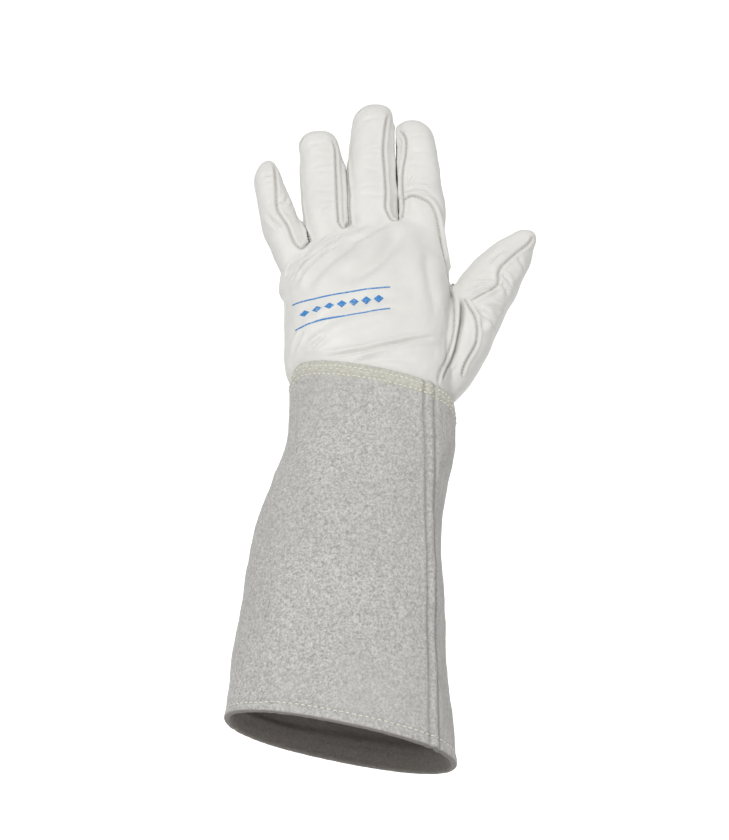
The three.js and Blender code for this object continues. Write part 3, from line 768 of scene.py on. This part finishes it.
def hand_panel(points):
    """The panel that holds each point of the hand itself."""
    x, y, z = points.T
    welt = np.array(WELT_LINE)[::-1]
    welt_x = np.interp(z, welt[1:, 1], welt[1:, 0])
    seam = np.array(THUMB_SEAM)[::-1]
    seam_x = np.interp(z, seam[:, 1], seam[:, 0]) - np.clip(y + 5, 0, 40) * 0.55
    panel = np.where((y < 2) & (x < welt_x) & ~((y > -4) & (x > 20)), "back_panel", "palm_panel")
    panel = np.where((x > seam_x) & (z < 290) & (x > 45), "thumb_base", panel)
    for near, far, _ in CROTCHES:
        middle = (STALLS[near].origin + STALLS[far].origin) / 2
        held = (np.abs(x - middle[0]) < 7) & (np.abs(y) < 6) & (z > middle[2] - 24)
        panel = np.where(held, f"fork_{near}_{far}", panel)
    return panel


def shell_piece(name, skin, chosen, material):
    """A closed shell from some of the skin's faces, with the whole skin's normals, so no join shows."""
    faces = skin.faces[chosen]
    used, local = np.unique(faces, return_inverse=True)
    local = local.reshape(faces.shape)
    count = len(used)
    outer = skin.points[used]
    normals = skin.normals[used]
    inner = outer - normals * LEATHER
    a = local.ravel()
    b = np.roll(local, -1, axis=1).ravel()
    forward = a.astype(np.int64) * count + b
    backward = b.astype(np.int64) * count + a
    rim = ~np.isin(forward, backward)
    rim_faces = np.column_stack([b[rim], a[rim], a[rim] + count, b[rim] + count])
    all_faces = np.vstack([local, local[:, ::-1] + count, rim_faces])
    points = np.vstack([outer, inner])
    loops = np.vstack([normals, -normals])[all_faces.ravel()]
    edge = points[rim_faces]
    rim_normals = np.cross(edge[:, 2] - edge[:, 0], edge[:, 3] - edge[:, 1])
    rim_normals /= np.maximum(np.linalg.norm(rim_normals, axis=1), 1e-9)[:, None]
    loops[-4 * len(rim_faces):] = np.repeat(rim_normals, 4, axis=0)
    shade = np.tile(skin.shade[used], 2)
    inside = np.r_[np.zeros(count), np.ones(count)]
    return make_object(name, points, all_faces, material, {"shade": shade, "inside": inside}, loops)


def bends(name):
    """A finger's root bend and middle bend, and where its leather is cut between them."""
    root, fold = (THUMB_ROOT_BEND, THUMB_TIP_BEND) if name == "thumb" else (ROOT_BEND, MIDDLE_BEND)
    return root, fold, (root[1] + STALLS_AND_THUMB[name].fold + fold[0]) / 2


def bend_points(stall, span, fold=0.0):
    """The two ends of a bend on the finger's middle line, in metres."""
    ends = stall.to_world(np.zeros(2), np.zeros(2), np.array(span) + fold)
    return [tuple(end * MM) for end in ends]


def bend_piece(thing, name, segment):
    """Bakes a finger's piece in place; the ends of its root or middle bend are worked out but not used."""
    stall = STALLS_AND_THUMB[name]
    root_bend, fold_bend, _ = bends(name)
    if segment == "proximal":
        start, end = bend_points(stall, root_bend)
        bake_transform(thing)
    else:
        start, end = bend_points(stall, fold_bend, stall.fold)
        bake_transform(thing)


def split_skin(skin, materials):
    """Cuts the skin along its seams and folds into one closed piece for each leather panel."""
    centres = skin.points[skin.faces].mean(1)
    keep = (centres[:, 2] > edge_height(centres[:, 0]) - INSIDE_CUFF) & (centres[:, 2] > WRIST_Z + 11)
    finger, place = finger_of(centres)
    panels = hand_panel(centres)
    for panel in np.unique(panels[keep & (finger < 0)]):
        chosen = keep & (finger < 0) & (panels == panel)
        thing = shell_piece(f"{panel}_leather", skin, chosen, materials["leather"])
        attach(thing, "hand")
        stands_for = ["back_panel", "back_welt"] if panel == "back_panel" else [str(panel)]
        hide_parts(*stands_for)
    share, y, s = place.T
    for i, name in enumerate(STALLS_AND_THUMB):
        cut = bends(name)[2]
        strip = side_panel(name, share, y, s)
        for segment, held in (("proximal", s < cut), ("distal", s >= cut)):
            mine = keep & (finger == i) & held
            for panel in np.unique(strip[mine]):
                thing = shell_piece(f"{name}_{segment}_{panel}_leather", skin, mine & (strip == panel),
                                    materials["leather"])
                bend_piece(thing, name, segment)
                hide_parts(f"{name}_{segment}_{panel}")


# ---- Thread ----------------------------------------------------------------------------------------
STITCH_SIDES = 6
# A stitch's thickness along it: (place along, share of its full radius)
STITCH_PROFILE = ((-0.5, 0.25), (-0.36, 0.8), (0, 1.0), (0.36, 0.8), (0.5, 0.25))
HAND_STITCH = 1.5
HAND_PITCH = 2.3
HAND_THREAD = 0.3


def stitches(centres, alongs, ups, length, radius):
    """Short rounded thread bumps, one at each centre, lying along the seam."""
    angles = np.linspace(0, 2 * math.pi, STITCH_SIDES, endpoint=False)
    points, faces, start = [], [], 0
    for centre, along, up in zip(centres, alongs, ups):
        across = np.cross(along, up)
        rings = []
        for t, size in STITCH_PROFILE:
            sink = (0.5 - abs(t)) * 0.6 * radius
            middle = centre + along * t * length + up * sink
            ring = (middle + np.outer(np.cos(angles), across) * radius * size
                    + np.outer(np.sin(angles), up) * radius * size)
            rings.append(ring)
        part_points, part_faces = loft(rings)
        points.append(part_points)
        faces += [tuple(i + start for i in face) for face in part_faces]
        start += len(part_points)
    return np.vstack(points), faces


def stitch_line(line, tree, pitch, radius, sink):
    """Evenly spaced stitches on a line that lies on a surface: centres, directions and normals."""
    reach = np.r_[0, np.cumsum(np.linalg.norm(np.diff(line, axis=0), axis=1))]
    marks = np.arange(pitch / 2, reach[-1], pitch)
    centres = np.column_stack([np.interp(marks, reach, line[:, k]) for k in range(3)])
    ahead = np.column_stack([np.interp(marks + 0.4, reach, line[:, k]) for k in range(3)])
    behind = np.column_stack([np.interp(marks - 0.4, reach, line[:, k]) for k in range(3)])
    alongs = ahead - behind
    alongs /= np.maximum(np.linalg.norm(alongs, axis=1), 1e-9)[:, None]
    ups = []
    for i, centre in enumerate(centres):
        hit, normal, _, _ = tree.find_nearest(Vector(centre))
        centres[i] = hit
        ups.append(normal)
    ups = np.array(ups)
    ups -= alongs * np.sum(ups * alongs, axis=1)[:, None]
    ups /= np.linalg.norm(ups, axis=1)[:, None]
    centres += ups * (radius * 0.35 - sink)
    return centres, alongs, ups


def hand_stitches(skin, material):
    """Seam thread on the hand, grouped by what it bends with."""
    groups = {}
    for line in skin.lines.values():
        centres, alongs, ups = stitch_line(line, skin.tree, HAND_PITCH, HAND_THREAD, 0.05)
        finger, place = finger_of(centres)
        for i in range(len(centres)):
            if finger[i] < 0:
                group = ("hand", "")
            else:
                name = list(STALLS_AND_THUMB)[finger[i]]
                group = (name, "proximal" if place[i, 2] < bends(name)[2] else "distal")
            if centres[i, 2] > edge_height(centres[i, 0]) - 2:
                groups.setdefault(group, []).append((centres[i], alongs[i], ups[i]))
    for (name, segment), rows in groups.items():
        points, faces = stitches(*zip(*rows), HAND_STITCH, HAND_THREAD)
        label = f"thread_{name}_{segment}" if segment else "thread_hand"
        thing = make_object(label, points, faces, material)
        if name == "hand":
            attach(thing, "hand")
        else:
            bend_piece(thing, name, segment)


# ---- Cuff ------------------------------------------------------------------------------------------
CUFF_SIDES = 340
CUFF_LEVELS = 215
# height above the hem, centre x, half-width, half-depth
CUFF_ROWS = (
    (-10, 0, 62, 40), (0, 0, 62, 40), (57, 0.3, 57.7, 38), (119, 4.6, 52.6, 35.5), (150, 10.5, 50.4, 33.2),
    (180, 17, 48.5, 31), (235, 17, 47.6, 30.5), (245, 17, 47.6, 30.5),
)
HEM_HEIGHT = 14.0
BAND_HEIGHT = 9.0
# Grooves: beside the side seam, along the band's edges and above the hem
SEAM_GROOVE = 3.4
BAND_GROOVES = (2.4, 8.0)
HEM_GROOVE = 5.2


def hem_tilt(height):
    """How much a level of the cuff slants with the hem: fully at the hem, not at all above mid forearm."""
    return np.interp(height, [0, 57, 119], [1, 0.33, 0])


class Cuff:
    """The cuff's outer surface as a function of the angle round it and the share of the way up."""

    def __init__(self):
        self.table = spline(CUFF_ROWS, 2.0)
        angles = np.linspace(0, 2 * math.pi, CUFF_SIDES, endpoint=False)
        shares = np.linspace(0, 1, CUFF_LEVELS)
        self.angles, self.shares = np.meshgrid(angles, shares)
        base = self.bare(self.angles, self.shares)
        level, side = np.meshgrid(np.arange(CUFF_LEVELS - 1), np.arange(CUFF_SIDES), indexing="ij")
        nxt = (side + 1) % CUFF_SIDES
        low, high = level * CUFF_SIDES, (level + 1) * CUFF_SIDES
        self.faces = np.stack([low + side, low + nxt, high + nxt, high + side], -1).reshape(-1, 4)
        points = base.reshape(-1, 3)
        self.normals = vertex_normals(points, self.faces)
        self.build(points)

    def bare(self, angles, shares):
        """The cuff's smooth shape, without seams, folds or nap."""
        top_x = WRIST_X + oval_ring(angles, WRIST_WIDTH / 2, 1, CUFF_POWER)[0]
        height = shares * edge_height(top_x)
        centre, half_width, half_depth = (np.interp(height, self.table[:, 0], column)
                                          for column in self.table[:, 1:].T)
        x, y = oval_ring(angles, half_width, half_depth, CUFF_POWER)
        x = x + centre
        return np.stack([x, y, height - HEM_SLANT * x * hem_tilt(height)], -1)

    def build(self, points):
        """Adds the seam, the rows of stitching, soft waves and nap to the smooth shape."""
        x, y, z = points.T
        height = z + HEM_SLANT * x * hem_tilt(z)
        edge = edge_height(x) - z
        # distance round the cuff from the side seam, on the back, at each level
        grid = points.reshape(CUFF_LEVELS, CUFF_SIDES, 3)
        back = grid[..., 1] < 0
        off = np.where(back, np.abs(grid[..., 0] - CUFF_SEAM_X), 999)
        seam = grid[np.arange(CUFF_LEVELS), off.argmin(1)]
        t = np.linspace(0, 1, CUFF_LEVELS)
        for axis in (0, 1):
            seam[:, axis] = np.polyval(np.polyfit(t, seam[:, axis], 5), t)
        distance = np.linalg.norm(grid - seam[:, None], axis=2).ravel()
        inward = grid[..., 0] < seam[:, None, 0]
        self.seam_distance = np.where(inward.ravel(), -distance, distance)
        stretched = points * np.array([1, 1, 0.22])
        soft = 0.75 * waves(stretched, 38, 11) + 0.4 * waves(points, 46, 12) + 0.16 * waves(points, 13, 13)
        nap = 0.05 * waves(points, 3.1, 14) + 0.04 * waves(points, 1.9, 15)
        ends = (smoothstep(height, 0, 25) * 0.75 + 0.25) * (1 - 0.85 * smoothstep(-edge, -24, -8))
        lift = soft * ends + nap
        d = self.seam_distance
        on_back = (y < 4)
        lift += on_back * (1.25 * bump(d, 2.1) - 0.75 * bump(np.abs(d) - SEAM_GROOVE, 0.9)
                           + 0.35 * bump(np.abs(d) - 6.0, 1.8))
        lift -= 0.5 * bump(edge - BAND_GROOVES[1], 0.8) + 0.25 * bump(edge - BAND_GROOVES[0], 0.8)
        lift += 0.35 * bump(edge - 5.0, 2.2)
        lift -= 0.45 * bump(height - HEM_GROOVE, 0.8)
        lift += 0.5 * bump(height - 1.5, 3.0)
        fray = 0.12 * waves(points, 2.2, 16) * bump(edge, 1.5)
        self.points = points + self.normals * (lift + fray)[:, None]
        self.height = height
        self.edge = edge
        self.normals = vertex_normals(self.points, self.faces)
        self.tree = BVHTree.FromPolygons(self.points.tolist(), self.faces.tolist())

    def line_at(self, value, levels_of):
        """A closed line round the cuff where a field takes a value, one point per column."""
        grid = self.points.reshape(CUFF_LEVELS, CUFF_SIDES, 3)
        field = levels_of.reshape(CUFF_LEVELS, CUFF_SIDES)
        rows = np.abs(field - value).argmin(0)
        line = grid[rows, np.arange(CUFF_SIDES)]
        for _ in range(4):
            line = (np.roll(line, 1, 0) + 2 * line + np.roll(line, -1, 0)) / 4
        return np.vstack([line, line[:1]])


def cuff_shell(cuff, material):
    """The wrap panel with its thickness, its cut upper edge and its turned hem."""
    outer = cuff.points.reshape(CUFF_LEVELS, CUFF_SIDES, 3)
    normals = cuff.normals.reshape(CUFF_LEVELS, CUFF_SIDES, 3)
    height = cuff.height.reshape(CUFF_LEVELS, CUFF_SIDES)
    inner_levels = np.unique(np.r_[0:22:2, 22:CUFF_LEVELS:7, CUFF_LEVELS - 1])
    wall = SUEDE + (SUEDE + 0.4) * (1 - smoothstep(height, HEM_HEIGHT - 1.0, HEM_HEIGHT + 0.8))
    inner = (outer - normals * wall[..., None])[inner_levels]
    top = outer[-1] - normals[-1] * SUEDE / 2 + np.array([0, 0, 0.35])
    wall_foot = wall[0][:, None]
    down = np.array([-0.2, 0, -0.98])
    foot = [outer[0] - normals[0] * wall_foot * share + down * drop
            for share, drop in ((0.1, 0.8), (0.35, 1.4), (0.65, 1.4), (0.9, 0.8))]
    rows = list(outer) + [top] + list(inner[::-1]) + foot[::-1]
    count = len(rows)
    points = np.vstack(rows)
    level, side = np.meshgrid(np.arange(count), np.arange(CUFF_SIDES), indexing="ij")
    nxt = (side + 1) % CUFF_SIDES
    low = level * CUFF_SIDES
    high = (level + 1) % count * CUFF_SIDES
    faces = np.stack([low + side, low + nxt, high + nxt, high + side], -1).reshape(-1, 4)
    pad = count * CUFF_SIDES - outer.shape[0] * CUFF_SIDES
    band = np.r_[1 - smoothstep(cuff.edge, BAND_HEIGHT - 2, BAND_HEIGHT + 1.5), np.zeros(pad)]
    inside = np.r_[np.zeros(CUFF_LEVELS * CUFF_SIDES), np.ones(pad)]
    past_seam = smoothstep(cuff.seam_distance, 2.5, 5)
    gusset = np.r_[past_seam * (1 - smoothstep(cuff.points[:, 1], 2, 24)), np.zeros(pad)]
    # painted shade in the grooves beside the side seam, above the hem and along the band
    groove = (bump(np.abs(cuff.seam_distance) - SEAM_GROOVE, 0.9) * (cuff.points[:, 1] < 4)
              + 0.6 * bump(cuff.height - HEM_GROOVE, 0.9) + 0.4 * bump(cuff.edge - BAND_GROOVES[1], 0.9))
    shade = np.r_[groove, np.zeros(pad)]
    thing = make_object("cuff_wrap_suede", points, faces, material,
                        {"band": band, "inside": inside, "gusset": gusset, "shade": shade})
    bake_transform(thing)
    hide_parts("cuff_panel_lower", "cuff_panel_upper", "cuff_welt_lower", "cuff_welt_upper",
                "cuff_hem_fold")
    return thing


def cuff_stitches(cuff, material):
    """Three rows of thread along the band at the cuff's upper edge, and one along the hem."""
    rows = (
        (cuff.line_at(BAND_GROOVES[0], cuff.edge), 3.0, 2.0, 0.42),
        (cuff.line_at(5.3, cuff.edge), 4.4, 1.6, 0.34),
        (cuff.line_at(BAND_GROOVES[1], cuff.edge), 3.0, 2.0, 0.42),
        (cuff.line_at(HEM_GROOVE, cuff.height), 3.4, 2.3, 0.42),
    )
    points, faces, start = [], [], 0
    for line, pitch, length, radius in rows:
        centres, alongs, ups = stitch_line(line, cuff.tree, pitch, radius, 0.1)
        part_points, part_faces = stitches(centres, alongs, ups, length, radius)
        points.append(part_points)
        faces += [tuple(i + start for i in face) for face in part_faces]
        start += len(part_points)
    thing = make_object("thread_cuff", np.vstack(points), faces, material)
    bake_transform(thing)


# ---- Print on the back of the hand -----------------------------------------------------------------
PRINT_LINES = (((-29, 256), (-6, 257), (28, 261.5)), ((-27, 239), (-4, 243), (28, 248.5)))
PRINT_WIDTH = 0.9
PRINT_ROWS = 5
PRINT_LIFT = 0.12
DIAMONDS = 7
DIAMOND_HALF_WIDTH = 2.9
DIAMOND_HALF_HEIGHT = 2.1


def make_print(skin, material):
    """A plain mark: two thin lines with a row of small diamonds between them, each a thin closed patch."""
    shapes = []
    for controls in PRINT_LINES:
        line = spline(controls, 0.8)
        tangent = np.gradient(line, axis=0)
        tangent /= np.linalg.norm(tangent, axis=1)[:, None]
        side = np.column_stack([-tangent[:, 1], tangent[:, 0]]) * PRINT_WIDTH / 2
        shapes.append((line - side, line + side))
    middle = (spline(PRINT_LINES[0], 0.5), spline(PRINT_LINES[1], 0.5))
    run = np.linspace(-1, 1, 9)
    reach = (1 - np.abs(run)) * DIAMOND_HALF_HEIGHT + 0.02
    tall = np.column_stack([0 * reach, reach])
    for i in range(DIAMONDS):
        share = (i + 0.9) / (DIAMONDS + 0.8)
        spot = [m[int(share * (len(m) - 1))] for m in middle]
        line = (spot[0] + spot[1]) / 2 + np.column_stack([run * DIAMOND_HALF_WIDTH, run * 0.25])
        shapes.append((line - tall, line + tall))
    points, faces = [], []
    for low, high in shapes:
        start, count = len(points), len(low)
        patch = np.linspace(low, high, PRINT_ROWS).reshape(-1, 2)
        for lift in (PRINT_LIFT, -PRINT_LIFT):
            for x, z in patch:
                hit, normal, _, _ = skin.tree.ray_cast(Vector((x, -90.0, z)), Vector((0, 1, 0)))
                points.append(np.array(hit) + np.array(normal) * lift)
        for k in range(PRINT_ROWS - 1):
            for i in range(count - 1):
                a = start + k * count + i
                top = (a, a + 1, a + count + 1, a + count)
                faces.append(top)
                faces.append(tuple(v + len(patch) for v in reversed(top)))
        last = PRINT_ROWS - 1
        rim = [(0, i) for i in range(count)] + [(k, count - 1) for k in range(1, last)]
        rim += [(last, i) for i in reversed(range(count))] + [(k, 0) for k in range(last - 1, 0, -1)]
        rim = [start + k * count + i for k, i in rim]
        for a, b in zip(rim, rim[1:] + rim[:1]):
            faces.append((b, a, a + len(patch), b + len(patch)))
    thing = make_object("print_mark", np.array(points), faces, material)
    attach(thing, "hand")


# ---- Materials -------------------------------------------------------------------------------------
class Nodes:
    """Short names for the shader nodes that the materials use."""

    def __init__(self, name, roughness, sheen=0.0, specular=0.5):
        self.material = bpy.data.materials.new(name)
        self.material.use_nodes = True
        self.tree = self.material.node_tree
        self.shader = self.tree.nodes["Principled BSDF"]
        self.shader.inputs["Roughness"].default_value = roughness
        self.shader.inputs["Specular IOR Level"].default_value = specular
        if sheen:
            self.shader.inputs["Sheen Weight"].default_value = sheen
            self.shader.inputs["Sheen Roughness"].default_value = 0.6
        self.place = self.tree.nodes.new("ShaderNodeTexCoord").outputs["Object"]

    def link(self, source, target):
        self.tree.links.new(source, target)

    def attribute(self, name):
        node = self.tree.nodes.new("ShaderNodeAttribute")
        node.attribute_name = name
        return node.outputs["Fac"]

    def noise(self, scale, detail=2.0, rough=0.5, squash=None):
        node = self.tree.nodes.new("ShaderNodeTexNoise")
        node.inputs["Scale"].default_value = scale
        node.inputs["Detail"].default_value = detail
        node.inputs["Roughness"].default_value = rough
        place = self.place
        if squash:
            mapping = self.tree.nodes.new("ShaderNodeMapping")
            mapping.inputs["Scale"].default_value = squash
            self.link(place, mapping.inputs["Vector"])
            place = mapping.outputs["Vector"]
        self.link(place, node.inputs["Vector"])
        return node.outputs["Fac"]

    def cells(self, scale):
        node = self.tree.nodes.new("ShaderNodeTexVoronoi")
        node.feature = "DISTANCE_TO_EDGE"
        node.inputs["Scale"].default_value = scale
        self.link(self.place, node.inputs["Vector"])
        return node.outputs["Distance"]

    def remap(self, value, low, high, to_low=0.0, to_high=1.0):
        node = self.tree.nodes.new("ShaderNodeMapRange")
        for key, number in (("From Min", low), ("From Max", high), ("To Min", to_low), ("To Max", to_high)):
            node.inputs[key].default_value = number
        self.link(value, node.inputs["Value"])
        return node.outputs["Result"]

    def math(self, operation, a, b):
        node = self.tree.nodes.new("ShaderNodeMath")
        node.operation = operation
        for socket, value in zip(node.inputs, (a, b)):
            if isinstance(value, (int, float)):
                socket.default_value = value
            else:
                self.link(value, socket)
        return node.outputs[0]

    def mix(self, factor, a, b):
        node = self.tree.nodes.new("ShaderNodeMix")
        node.data_type = "RGBA"
        self.link(factor, node.inputs["Factor"])
        for socket, value in ((node.inputs["A"], a), (node.inputs["B"], b)):
            if isinstance(value, tuple):
                socket.default_value = (*value, 1)
            else:
                self.link(value, socket)
        return node.outputs["Result"]

    def bump(self, height, strength, distance, before=None):
        node = self.tree.nodes.new("ShaderNodeBump")
        node.inputs["Strength"].default_value = strength
        node.inputs["Distance"].default_value = distance
        self.link(height, node.inputs["Height"])
        if before is not None:
            self.link(before, node.inputs["Normal"])
        return node.outputs["Normal"]


def leather_material():
    """Off-white grain leather: soft tone changes, pores, fine wrinkles, painted shade darkening the seam
    grooves, the welt groove and the slit.
    """
    n = Nodes("glove_leather", 0.5, sheen=0.08, specular=0.32)
    broad = n.remap(n.noise(28, 3, 0.55), 0.3, 0.7)
    small = n.remap(n.noise(240, 3, 0.6), 0.3, 0.75)
    colour = n.mix(broad, (0.652, 0.645, 0.614), (0.723, 0.716, 0.685))
    tint = n.mix(small, (0.676, 0.667, 0.635), (0.709, 0.702, 0.673))
    half = n.remap(n.noise(60, 1, 0.5), 0, 1, 0.35, 0.65)
    colour = n.mix(half, colour, tint)
    # painted shade: the shade attribute darkens the leather in the seam grooves, the welt groove and the
    # slit
    painted_seam_shade = n.remap(n.attribute("shade"), 0, 1)
    colour = n.mix(painted_seam_shade, colour, (0.30, 0.285, 0.25))
    colour = n.mix(n.attribute("inside"), colour, (0.42, 0.40, 0.37))
    n.link(colour, n.shader.inputs["Base Color"])
    pores = n.remap(n.cells(900), 0.0, 0.12)
    wrinkle = n.noise(330, 4, 0.6, (1, 1, 0.55))
    normal = n.bump(pores, 0.10, 0.0003)
    normal = n.bump(wrinkle, 0.22, 0.0006, normal)
    n.link(normal, n.shader.inputs["Normal"])
    n.link(n.remap(n.noise(120, 2), 0.3, 0.7, 0.44, 0.58), n.shader.inputs["Roughness"])
    return n.material


def suede_material():
    """Grey split suede: mottled grain, streaks past the seam, a yellowed band, painted shade in the grooves.
    """
    n = Nodes("cuff_suede", 0.95, sheen=0.25, specular=0.15)
    grain = n.remap(n.noise(900, 2, 0.7), 0.38, 0.62)
    colour = n.mix(grain, (0.26, 0.255, 0.243), (0.66, 0.652, 0.63))
    speck = n.remap(n.noise(480, 3, 0.7), 0.37, 0.63)
    other = n.mix(speck, (0.31, 0.303, 0.288), (0.62, 0.61, 0.585))
    even = n.remap(n.noise(50, 2), 0, 1, 0.3, 0.7)
    colour = n.mix(even, colour, other)
    cloud = n.remap(n.noise(17, 3, 0.6), 0.35, 0.68, 0.0, 0.30)
    colour = n.mix(cloud, colour, (0.36, 0.352, 0.335))
    pink = n.remap(n.noise(11, 2, 0.5), 0.5, 0.7, 0.0, 0.25)
    colour = n.mix(pink, colour, (0.56, 0.53, 0.51))
    streak = n.remap(n.noise(420, 3, 0.6, (1, 1, 0.07)), 0.35, 0.65)
    strip = n.mix(streak, (0.30, 0.292, 0.272), (0.55, 0.54, 0.51))
    colour = n.mix(n.math("MULTIPLY", n.attribute("gusset"), 0.35), colour, strip)
    weave = n.remap(n.noise(700, 2, 0.7), 0.4, 0.62)
    yellowed = n.mix(weave, (0.45, 0.44, 0.375), (0.59, 0.58, 0.505))
    colour = n.mix(n.math("MULTIPLY", n.attribute("band"), 0.75), colour, yellowed)
    # painted shade: darkens the suede in the grooves beside the seam, above the hem and along the band
    colour = n.mix(n.math("MULTIPLY", n.attribute("shade"), 0.45), colour, (0.22, 0.21, 0.19))
    colour = n.mix(n.math("MULTIPLY", n.attribute("inside"), 0.8), colour, (0.17, 0.145, 0.125))
    n.link(colour, n.shader.inputs["Base Color"])
    fibres = n.noise(800, 4, 0.75)
    clumps = n.noise(260, 3, 0.65)
    normal = n.bump(clumps, 0.5, 0.0008)
    normal = n.bump(fibres, 0.6, 0.0005, normal)
    n.link(normal, n.shader.inputs["Normal"])
    n.link(n.remap(grain, 0, 1, 0.98, 0.86), n.shader.inputs["Roughness"])
    return n.material


def thread_material(name, dark, light):
    """Twisted cotton thread."""
    n = Nodes(name, 0.7, sheen=0.2, specular=0.3)
    twist = n.remap(n.noise(1500, 2, 0.6), 0.35, 0.65)
    n.link(n.mix(twist, dark, light), n.shader.inputs["Base Color"])
    n.link(n.bump(twist, 0.4, 0.0002), n.shader.inputs["Normal"])
    return n.material


def print_material():
    """Blue print, worn through in specks."""
    n = Nodes("print_blue", 0.55, specular=0.3)
    worn = n.remap(n.noise(700, 3, 0.7), 0.52, 0.68, 0.0, 0.75)
    n.link(n.mix(worn, (0.035, 0.21, 0.52), (0.55, 0.62, 0.70)), n.shader.inputs["Base Color"])
    n.link(n.bump(n.noise(330, 4, 0.6), 0.2, 0.0004), n.shader.inputs["Normal"])
    return n.material


# ---- Stage -----------------------------------------------------------------------------------------
FLOOR_Z = -0.52
FLOOR_REACH = 4.0
BACKDROP_Y = 2.4
BACKDROP_REACH = 3
BACKDROP_TOP = 4
BACKDROP_GLOW = 0.75
WORLD_STRENGTH = 0.5
LAMP_TARGET = (0.02, 0, 0.22)
# name, place, width, power
LAMPS = (
    ("key", (-0.6, -1.6, 0.5), 0.6, 15.6),
    ("fill", (1.2, -1.0, 0.2), 0.9, 4.0),
)


def add_sheet(name, corners, material):
    """One flat square of the studio."""
    mesh = bpy.data.meshes.new(name)
    mesh.from_pydata(corners, [], [(0, 1, 2, 3)])
    mesh.materials.append(material)
    sheet = bpy.data.objects.new(name, mesh)
    bpy.context.scene.collection.objects.link(sheet)


def make_stage():
    """A pale floor, a white backdrop behind the back of the hand, soft lamps and an even sky."""
    n = Nodes("floor", 0.8)
    tone = n.remap(n.noise(3, 2), 0, 1)
    n.link(n.mix(tone, (0.80, 0.80, 0.80), (0.84, 0.84, 0.84)), n.shader.inputs["Base Color"])
    reach = FLOOR_REACH
    add_sheet("floor", [(-reach, -reach, FLOOR_Z), (reach, -reach, FLOOR_Z), (reach, reach, FLOOR_Z),
                        (-reach, reach, FLOOR_Z)], n.material)

    glow = bpy.data.materials.new("backdrop")
    glow.use_nodes = True
    shader = glow.node_tree.nodes["Principled BSDF"]
    shader.inputs["Base Color"].default_value = (0.8, 0.8, 0.8, 1)
    shader.inputs["Emission Color"].default_value = (1, 1, 1, 1)
    shader.inputs["Emission Strength"].default_value = BACKDROP_GLOW
    reach = BACKDROP_REACH
    add_sheet("backdrop", [(reach, BACKDROP_Y, FLOOR_Z), (reach, BACKDROP_Y, BACKDROP_TOP),
                           (-reach, BACKDROP_Y, BACKDROP_TOP), (-reach, BACKDROP_Y, FLOOR_Z)], glow)
    bpy.context.scene.view_settings.view_transform = "Standard"

    world = bpy.data.worlds.new("studio")
    world.use_nodes = True
    world.node_tree.nodes["Background"].inputs["Color"].default_value = (1, 1, 1, 1)
    world.node_tree.nodes["Background"].inputs["Strength"].default_value = WORLD_STRENGTH
    bpy.context.scene.world = world
    for name, place, size, power in LAMPS:
        lamp = bpy.data.objects.new(name, bpy.data.lights.new(name, "AREA"))
        lamp.data.shape = "DISK"
        lamp.data.size = size
        lamp.data.energy = power
        lamp.location = place
        aim = Vector(LAMP_TARGET) - Vector(place)
        lamp.rotation_euler = aim.to_track_quat("-Z", "Y").to_euler()
        bpy.context.scene.collection.objects.link(lamp)


# ---- The glove -------------------------------------------------------------------------------------
materials = {
    "leather": leather_material(),
    "suede": suede_material(),
    "seam_thread": thread_material("seam_thread", (0.42, 0.40, 0.35), (0.62, 0.60, 0.54)),
    "cuff_thread": thread_material("cuff_thread", (0.66, 0.64, 0.54), (0.86, 0.845, 0.74)),
    "print": print_material(),
}
make_stage()
skin = build_skin()
split_skin(skin, materials)
hand_stitches(skin, materials["seam_thread"])
make_print(skin, materials["print"])
cuff = Cuff()
cuff_shell(cuff, materials["suede"])
cuff_stitches(cuff, materials["cuff_thread"])
